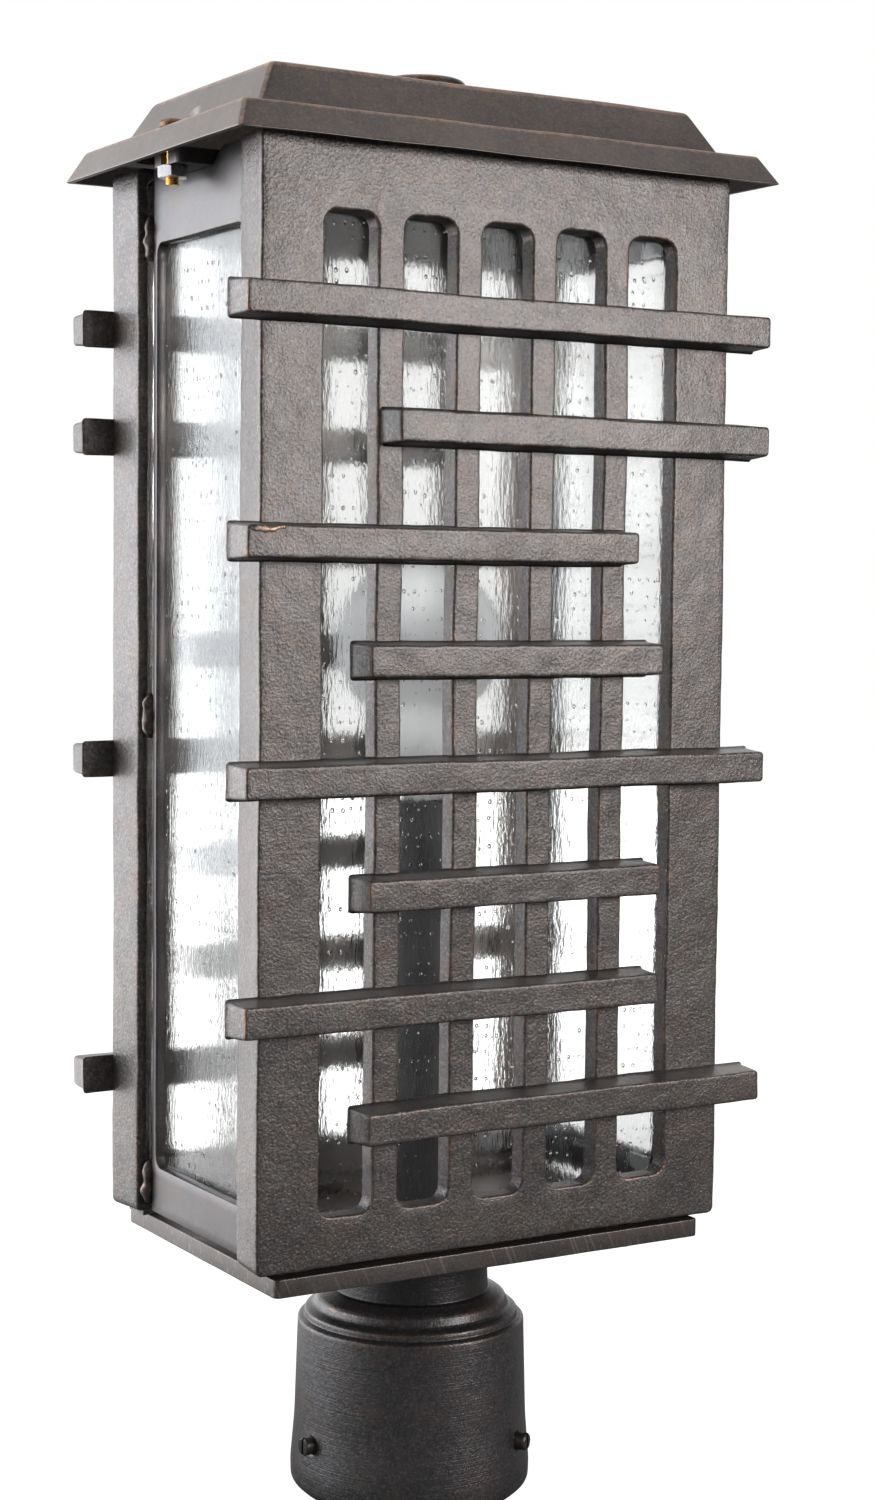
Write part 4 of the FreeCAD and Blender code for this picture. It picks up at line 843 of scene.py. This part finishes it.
# Side frames: flat castings with one tall window, let in between the panels' rims.
# Painted like the panels but smoother, with a notch in the top edge for the roof ear.
FRAME_LOW, FRAME_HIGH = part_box("left_side_frame")
WINDOW_HALF = 34.0 * MM
WINDOW_LOW = 119.2 * MM
WINDOW_HIGH = 447.3 * MM
WINDOW_CORNER = 4.0 * MM
NOTCH_FLOOR = 10.7 * MM
NOTCH_MOUTH = 18.5 * MM
NOTCH_DEPTH = 5.5 * MM
FRAME_EASE = 0.5 * MM


def frame_rings(inset, grow, share):
    """Rings of the frame's face as (along, up): from the window's outline, share 0, to the frame's edge, share 1.

    They follow the same formula as a slot's cell. The upper edge drops by the notch's depth between its slopes.
    """
    core, way = round_box_loop(60, 110, np.linspace(0, np.pi / 2, 9)[1:-1])
    square = way / np.abs(way).max(1, keepdims=True)
    middle = (WINDOW_LOW + WINDOW_HIGH) / 2
    core = core * (WINDOW_HALF - WINDOW_CORNER, (WINDOW_HIGH - WINDOW_LOW) / 2 - WINDOW_CORNER)
    beside = FRAME_HIGH.y - inset - np.abs(core[:, 0])
    along = np.abs(core[:, 0] + square[:, 0] * beside)
    notch = NOTCH_DEPTH * np.clip((NOTCH_MOUTH - along) / (NOTCH_MOUTH - NOTCH_FLOOR), 0, 1)
    room = np.where(way[:, 1] > 0, FRAME_HIGH.z - notch - middle, middle - FRAME_LOW.z) - inset
    margin = np.stack([beside, room - np.abs(core[:, 1])], -1)
    share = np.reshape(share, (-1, 1, 1))
    return core + (1 - share) * way * (WINDOW_CORNER + grow) + share * square * margin + (0, middle)


def side_frame(side, seed):
    """Closed frame: its section runs over the outer face, the edge, the inner face and back through the window."""
    thick = FRAME_HIGH.x - FRAME_LOW.x
    out = np.linspace(0, 1, 6)
    soft = 0.3 * FRAME_EASE
    rings = [
        (frame_rings(FRAME_EASE, FRAME_EASE, out), np.zeros(6), 0.0),
        (frame_rings(soft, 0, 1.0), (soft,), 0.7),
        (frame_rings(0.0, 0, 1.0), (FRAME_EASE,), 0.3),
        (frame_rings(0.0, 0, 1.0), (thick - FRAME_EASE,), 0.0),
        (frame_rings(soft, 0, 1.0), (thick - soft,), 0.0),
        (frame_rings(FRAME_EASE, FRAME_EASE, out[::-1]), np.full(6, thick), 0.0),
        (frame_rings(0, soft, 0.0), (thick - soft,), 0.0),
        (frame_rings(0, 0.0, 0.0), (thick - FRAME_EASE,), 0.0),
        (frame_rings(0, 0.0, 0.0), (FRAME_EASE,), 0.5),
        (frame_rings(0, soft, 0.0), (soft,), 0.8),
        (frame_rings(FRAME_EASE, FRAME_EASE, 0.0), (0.0,), 0.0),
    ]
    flat = np.concatenate([ring for ring, _, _ in rings])
    depth = np.concatenate([rows for _, rows, _ in rings])[:, None]
    rub = np.concatenate([np.full(len(ring), worn) for ring, _, worn in rings])[:, None]
    across = np.broadcast_to(side * (-FRAME_LOW.x - depth), flat.shape[:2])
    points = np.stack([across, flat[..., 0], flat[..., 1]], -1)
    return uneven(points, 60 * MM, 0.15 * MM, seed), rub, True


frame_paint = bronze(
    "frame_paint", (0.080, 0.073, 0.074, 1), (0.105, 0.096, 0.097, 1), 0.012 * MM, 0.10, rough=0.40, copper=0.5,
)
for name, side, seed in (("left", -1, 60), ("right", 1, 70)):
    build_piece(
        f"{name}_side_frame_casting", [side_frame(side, seed)], frame_paint, "frame_paint", "lantern",
        f"{name}_side_frame",
    )

# Tack welds: twelve short beads that join the side frames to the rims across the gaps, at foot, middle and head.
# Laid by hand, so each is a lumpy ridge; painted over with the rest.
WELD_FACE = 87.0 * MM
WELD_GAP = 38.75 * MM
WELD_LEVELS = (112.5 * MM, 281.0 * MM, 449.5 * MM)
WELD_HALF_LENGTH = 8.0 * MM
WELD_RADII = (2.9 * MM, 2.15 * MM)


def weld_bead(side, end, level, seed):
    """One bead: an ellipse carried up, tapered to its ends by a fourth power and swollen by lumps."""
    up = np.sin(np.linspace(-np.pi / 2, np.pi / 2, 26))[:, None]
    turn = np.linspace(0, 2 * np.pi, 28, endpoint=False)
    swell = np.sqrt(np.maximum(0, 1 - up ** 4)) * (1 + 0 * turn)
    points = np.stack([swell * np.cos(turn), swell * np.sin(turn), up + 0 * turn], -1)
    points = points * (WELD_RADII[0], WELD_RADII[1], WELD_HALF_LENGTH)
    points[..., :2] *= 1 + 0.24 * lumps(points, 5 * MM, seed)[..., None]
    return points + (side * WELD_FACE, end * WELD_GAP, level), 0.6, True


weld_paint = bronze(
    "weld_paint", (0.070, 0.058, 0.055, 1), (0.110, 0.088, 0.080, 1), 0.02 * MM, 0.2, rough=0.36, copper=0.7,
)
beads = []
for side in (-1, 1):
    for end in (-1, 1):
        beads += [weld_bead(side, end, level, 80 + len(beads) + row) for row, level in enumerate(WELD_LEVELS)]
build_piece("tack_weld_beads", beads, weld_paint, "weld_paint", "lantern", "tack_welds")

# Glass panes: four sheets of clear seeded glass, drawn with upright waves and bubbles left in it on purpose.
# They lie against the panels and frames from inside.


def seeded_glass(name):
    """Seeded sheet glass: clear, drawn into upright waves, with small bubbles that bend what is behind them."""
    material, shader, place = new_finish(name)
    waves = place.stretch(120.0, 120.0, 16.0).noise(1.0, 2.0)
    rain = place.stretch(950.0, 950.0, 240.0).noise(1.0, 2.0)
    across = place.part("X") + place.part("Y")
    up = place.part("Z") * 0.8
    flat = place.node("ShaderNodeCombineXYZ", None, {"X": across, "Y": up})
    cells = {"voronoi_dimensions": "2D", "feature": "F1"}
    seeds = place.node("ShaderNodeTexVoronoi", cells, {"Vector": flat, "Scale": 260.0})
    draws = Field(place.tree, seeds.socket.node.outputs["Color"])
    size = place.node("ShaderNodeSeparateColor", None, {"Color": draws}, "Red")
    kept = place.node("ShaderNodeSeparateColor", None, {"Color": draws}, "Green").between(0.55, 0.6)
    off = seeds.math("DIVIDE", seeds, size * size * 0.13 + 0.07)
    bubble = (1 - off.between(0.35, 1.0)) * (size + 0.3) * kept
    # Painted shade: dark rings round the bubbles in the base colour, standing in for the dark rims their refraction
    # shows.
    outline = off.between(0.5, 0.8) * (1 - off.between(0.85, 1.15)) * kept
    set_sockets(place, shader, {
        "Base Color": (outline * 0.5).blend((0.90, 0.905, 0.90, 1), (0.25, 0.26, 0.27, 1)),
        "Roughness": waves * 0.09 + 0.055,
        "IOR": 1.45,
        "Specular Tint": (0.03, 0.03, 0.03, 1),
        "Transmission Weight": 1.0,
        "Normal": (waves * (0.10 * MM) + rain * (0.08 * MM) + bubble * (0.22 * MM)).bump(),
    })
    shade, = place.rays("Is Shadow Ray")
    clear = place.node("ShaderNodeBsdfTransparent")
    body = Field(place.tree, shader.outputs[0])
    mixed = place.node("ShaderNodeMixShader", None, {0: shade, 1: body, 2: clear})
    place.tree.links.new(mixed.socket, place.tree.nodes["Material Output"].inputs["Surface"])
    return material


SIDES = ("front", "right", "back", "left")
pane_glass = seeded_glass("seeded_glass")
dress(pane_glass, *[f"{side}_glass" for side in SIDES])

# Glass clips and their screws: bent zinc strips over the panes' edges, each under one small pan screw.
# They press the panes outwards against webs and frames, and stay bare inside the box.
clip_steel = plain_metal("clip_steel", (0.44, 0.44, 0.45, 1), (0.62, 0.62, 0.62, 1), 0.36)
dress(clip_steel, *[f"{side}_glass_clips" for side in SIDES])
dress(zinc_steel, *[f"{side}_clip_screws" for side in SIDES])

# Roof ears: forked lugs that lie in the side frames' notches and take the roof screws.
# Cast and painted like the side frames.
dress(frame_paint, "left_roof_ear", "right_roof_ear")

# Roof: one hollow hipped casting with a leaning skirt, a flat ledge and a rounded hip; two ribs inside seat on
# the panels. Its arrises are rubbed to copper, and a round relief beside each screw gives the driver room.
ROOF_CORNERS = [
    (37.0, 0.0, 493.6, 0.0), (79.0, 42.0, 493.6, 1.5), (88.0, 51.0, 477.3, 1.0), (97.5, 60.0, 477.3, 1.0),
    (104.3, 68.8, 471.0, 0.4), (106.5, 71.0, 471.0, 0.7), (101.5, 64.0, 481.3, 1.2), (92.0, 55.0, 481.3, 1.2),
    (83.0, 46.0, 497.6, 1.8), (37.0, 0.0, 497.6, 0.0),
]
HIP_CORNER = 1.8 * MM
DRIP_EDGE = 475.0 * MM
LEDGE = 481.3 * MM
SCREW_PLACE = 96.75 * MM
RELIEF = 9.0 * MM
RIB_PLACE = -(WEB_FACE + WEB_BACK) / 2
RIB_HALF = (75 * MM, 2.3 * MM)
RIB_LEVELS = (474 * MM, 477.6 * MM)
RIB_CORNER = 0.5 * MM
RIB_EASE = 0.3 * MM


def roof_casting():
    """The roof's section, (half width, half depth, height) with eased corners, carried round a rectangle.

    Points of the hip's slope that lie within a relief's cylinder move out to its wall.
    """
    line, worn = eased(np.array(ROOF_CORNERS) * MM, 1.0 * MM)
    loop = round_box_loop(70, 160, np.linspace(0, np.pi / 2, 7)[1:-1])
    points = lay(round_rings(line[:, :2], HIP_CORNER, loop), line[:, 2])
    slope = np.abs(np.gradient(line[:, 2])) > 0.2 * np.abs(np.gradient(line[:, 0])) + 1e-6
    outside = np.arange(len(line)) > np.argmax(line[:, 0])
    hip_line = 1 - np.clip(np.abs(np.abs(loop[1]).min(1) - 0.7) * 2, 0, 1)
    worn = np.where(line[:, 2] < DRIP_EDGE, 0.3, 1.0) * worn
    rub = np.maximum(worn[:, None], 0.9 * (slope & outside)[:, None] * (hip_line > 0.2))
    aside = points - np.sign(points) * (SCREW_PLACE, 0, 0)
    off = np.linalg.norm(aside[..., :2], axis=-1)
    inside = (off < RELIEF) & (points[..., 2] > LEDGE + 0.02 * MM)
    push = np.where(inside, RELIEF / np.maximum(off, WELD), 1.0)
    points[..., :2] += aside[..., :2] * (push - 1)[..., None]
    return uneven(points, 60 * MM, 0.2 * MM, 90), np.where(inside, 0.0, rub), True


def seat_rib(end):
    """One rib: a long bar under the ledge that rests on a panel's top edge."""
    loop = round_box_loop(30, 2, np.array((np.pi / 4,)))
    points, rub, closes = slab(*RIB_HALF, *RIB_LEVELS, RIB_CORNER, RIB_EASE, 2 * MM, loop)
    return points + (0, end * RIB_PLACE, 0), 0 * rub, closes


roof_paint = bronze(
    "roof_paint", (0.105, 0.087, 0.079, 1), (0.145, 0.119, 0.107, 1), 0.03 * MM, 0.22, rough=0.42, copper=0.9, even=0.7,
)
build_piece("roof_casting", [roof_casting(), seat_rib(-1), seat_rib(1)], roof_paint, "roof_paint", "roof", "roof")

# Roof knob: a short turned cap in the middle of the roof, drawn down by a pan screw from inside.
# Darker than the roof and smoother, with fine rings left by the lathe.
KNOB_LOW, KNOB_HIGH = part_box("roof_knob")
KNOB_EASE = 3.0 * MM
knob_line, knob_rub = eased([
    (0.0, KNOB_LOW.z - 0.2 * MM, 0.0), (KNOB_HIGH.x, KNOB_LOW.z - 0.2 * MM, 0.2 * MM),
    (KNOB_HIGH.x, KNOB_HIGH.z, KNOB_EASE), (0.0, KNOB_HIGH.z, 0.0),
], 1.5 * MM)
knob_paint = bronze(
    "knob_paint", (0.060, 0.048, 0.043, 1), (0.10, 0.078, 0.066, 1), 0.01 * MM, 0.1, brush=0.03 * MM, rough=0.38,
)
build_piece("roof_knob_cap", [revolve(knob_line, knob_rub, 96)], knob_paint, "knob_paint", "roof", "roof_knob")
dress(zinc_steel, "knob_screw")

# Roof screws and nuts: slotted brass screws down through the ledge and the forked ears, with zinc hexagon nuts
# below. Their heads stayed dull, their threads are bright.
ROOF_SCREW_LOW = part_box("left_roof_screw")[0]
HEAD_RADIUS = 4.5 * MM
HEAD_HEIGHT = 3.0 * MM
SHANK_RADIUS = 2.4 * MM
DRIVER_SLOT = 0.55 * MM
DRIVER_DEPTH = 1.3 * MM
SCREW_PITCH = 0.8 * MM
SCREW_THREAD = 0.45 * MM
SCREW_PLAIN = 4 * MM
NUT_LOW, NUT_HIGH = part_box("left_roof_nut")
NUT_ACROSS = 9.5 * MM
NUT_CLEARANCE = 0.06 * MM


def screw_head():
    """Dome cut into chords, so that a straight slot's walls are rows of the grid, and a skirt below its edge."""
    outer = np.sin(np.linspace(-np.pi / 2, np.arcsin(-DRIVER_SLOT / HEAD_RADIUS), 12)) * HEAD_RADIUS
    rows = np.concatenate([outer, (-0.999 * DRIVER_SLOT, 0.999 * DRIVER_SLOT), -outer[::-1]])[:, None]
    chord = np.sqrt(np.maximum(0, HEAD_RADIUS ** 2 - rows ** 2))
    across = chord * np.sin(np.linspace(-np.pi / 2, np.pi / 2, 21))
    far = (across ** 2 + rows ** 2) / HEAD_RADIUS ** 2
    height = HEAD_HEIGHT * (1 - 0.5 * far ** 2)
    height = np.where(np.abs(rows) < DRIVER_SLOT * 0.9995, np.minimum(height, HEAD_HEIGHT - DRIVER_DEPTH), height)
    dome = np.stack([across, rows + 0 * across, LEDGE + height], -1)
    edge = np.concatenate([dome[:, -1], dome[::-1, 0]])
    seat = edge * (1, 1, 0) + (0, 0, LEDGE)
    under = seat * (0.5, 0.5, 1)
    return [(dome, 1.0, False), (np.stack([edge, seat, under]), 1.0, True)]


def roof_nut():
    """Hexagon nut: radius of the hexagon, flat / cos(angle), held under a cone at both ends, and its bore."""
    turn = np.linspace(0, 2 * np.pi, 72, endpoint=False)
    hexagon = NUT_ACROSS / 2 / np.cos(turn % (np.pi / 3) - np.pi / 6)
    rise = np.array((0.0, 0.12, 0.25, 0.4, 0.6)) * MM
    level = np.concatenate([NUT_LOW.z + rise, NUT_HIGH.z - rise[::-1]])
    cone = NUT_ACROSS / 2 * 0.97 + np.concatenate([rise, rise[::-1]]) * 1.9
    radius = np.minimum(hexagon, cone[:, None])
    bore = np.full((3, len(turn)), SHANK_RADIUS + NUT_CLEARANCE)
    radius = np.concatenate([bore[:1], radius, bore[:2]])
    level = np.concatenate([level[:1], level, level[-1:], level[:1]])[:, None]
    return np.stack([radius * np.cos(turn), radius * np.sin(turn), level + 0 * turn], -1), 0.0, True


def screw_brass_finish(name):
    """Bright brass on the thread, dull copper-brown on the head where paint and weather reached it."""
    material, shader, place = new_finish(name)
    cloud = place.noise(400.0, 2.0)
    edge = place.node("ShaderNodeAttribute", {"attribute_name": "rub"}, out="Fac")
    bright = cloud.between(0.35, 0.65).blend((0.60, 0.36, 0.10, 1), (0.85, 0.60, 0.22, 1))
    dull = cloud.between(0.35, 0.65).blend((0.16, 0.085, 0.05, 1), (0.30, 0.17, 0.10, 1))
    set_sockets(place, shader, {
        "Base Color": edge.blend(bright, dull),
        "Metallic": 1.0 - edge * 0.4,
        "Roughness": edge * 0.25 + cloud * 0.1 + 0.18,
        "Normal": (cloud * (0.01 * MM)).bump(),
    })
    return material


screw_brass = screw_brass_finish("screw_brass")
shank_line = np.stack([
    np.full(160, SHANK_RADIUS), np.linspace(ROOF_SCREW_LOW.z, LEDGE + 0.3 * MM, 160),
], -1)
shank_line = np.concatenate([[(0.0, ROOF_SCREW_LOW.z)], shank_line])
shank_line[1, 0] -= 0.5 * MM
for name, side in (("left", -1), ("right", 1)):
    shank = threaded(shank_line, ROOF_SCREW_LOW.z - SCREW_PITCH, LEDGE - SCREW_PLAIN, SCREW_PITCH, SCREW_THREAD, 36)
    place = (side * SCREW_PLACE, 0, 0)
    screw_grids = [(points + place, rub, closes) for points, rub, closes in [shank] + screw_head()]
    nut_points, nut_rub, nut_closes = roof_nut()
    build_piece(
        f"{name}_roof_screw_brass", screw_grids, screw_brass, "roof_screw_brass", "roof", f"{name}_roof_screw",
    )
    build_piece(
        f"{name}_roof_nut_zinc", [(nut_points + place, nut_rub, nut_closes)], zinc_steel, "zinc_steel",
        f"{name}_nut", f"{name}_roof_nut", sharp=25,
    )
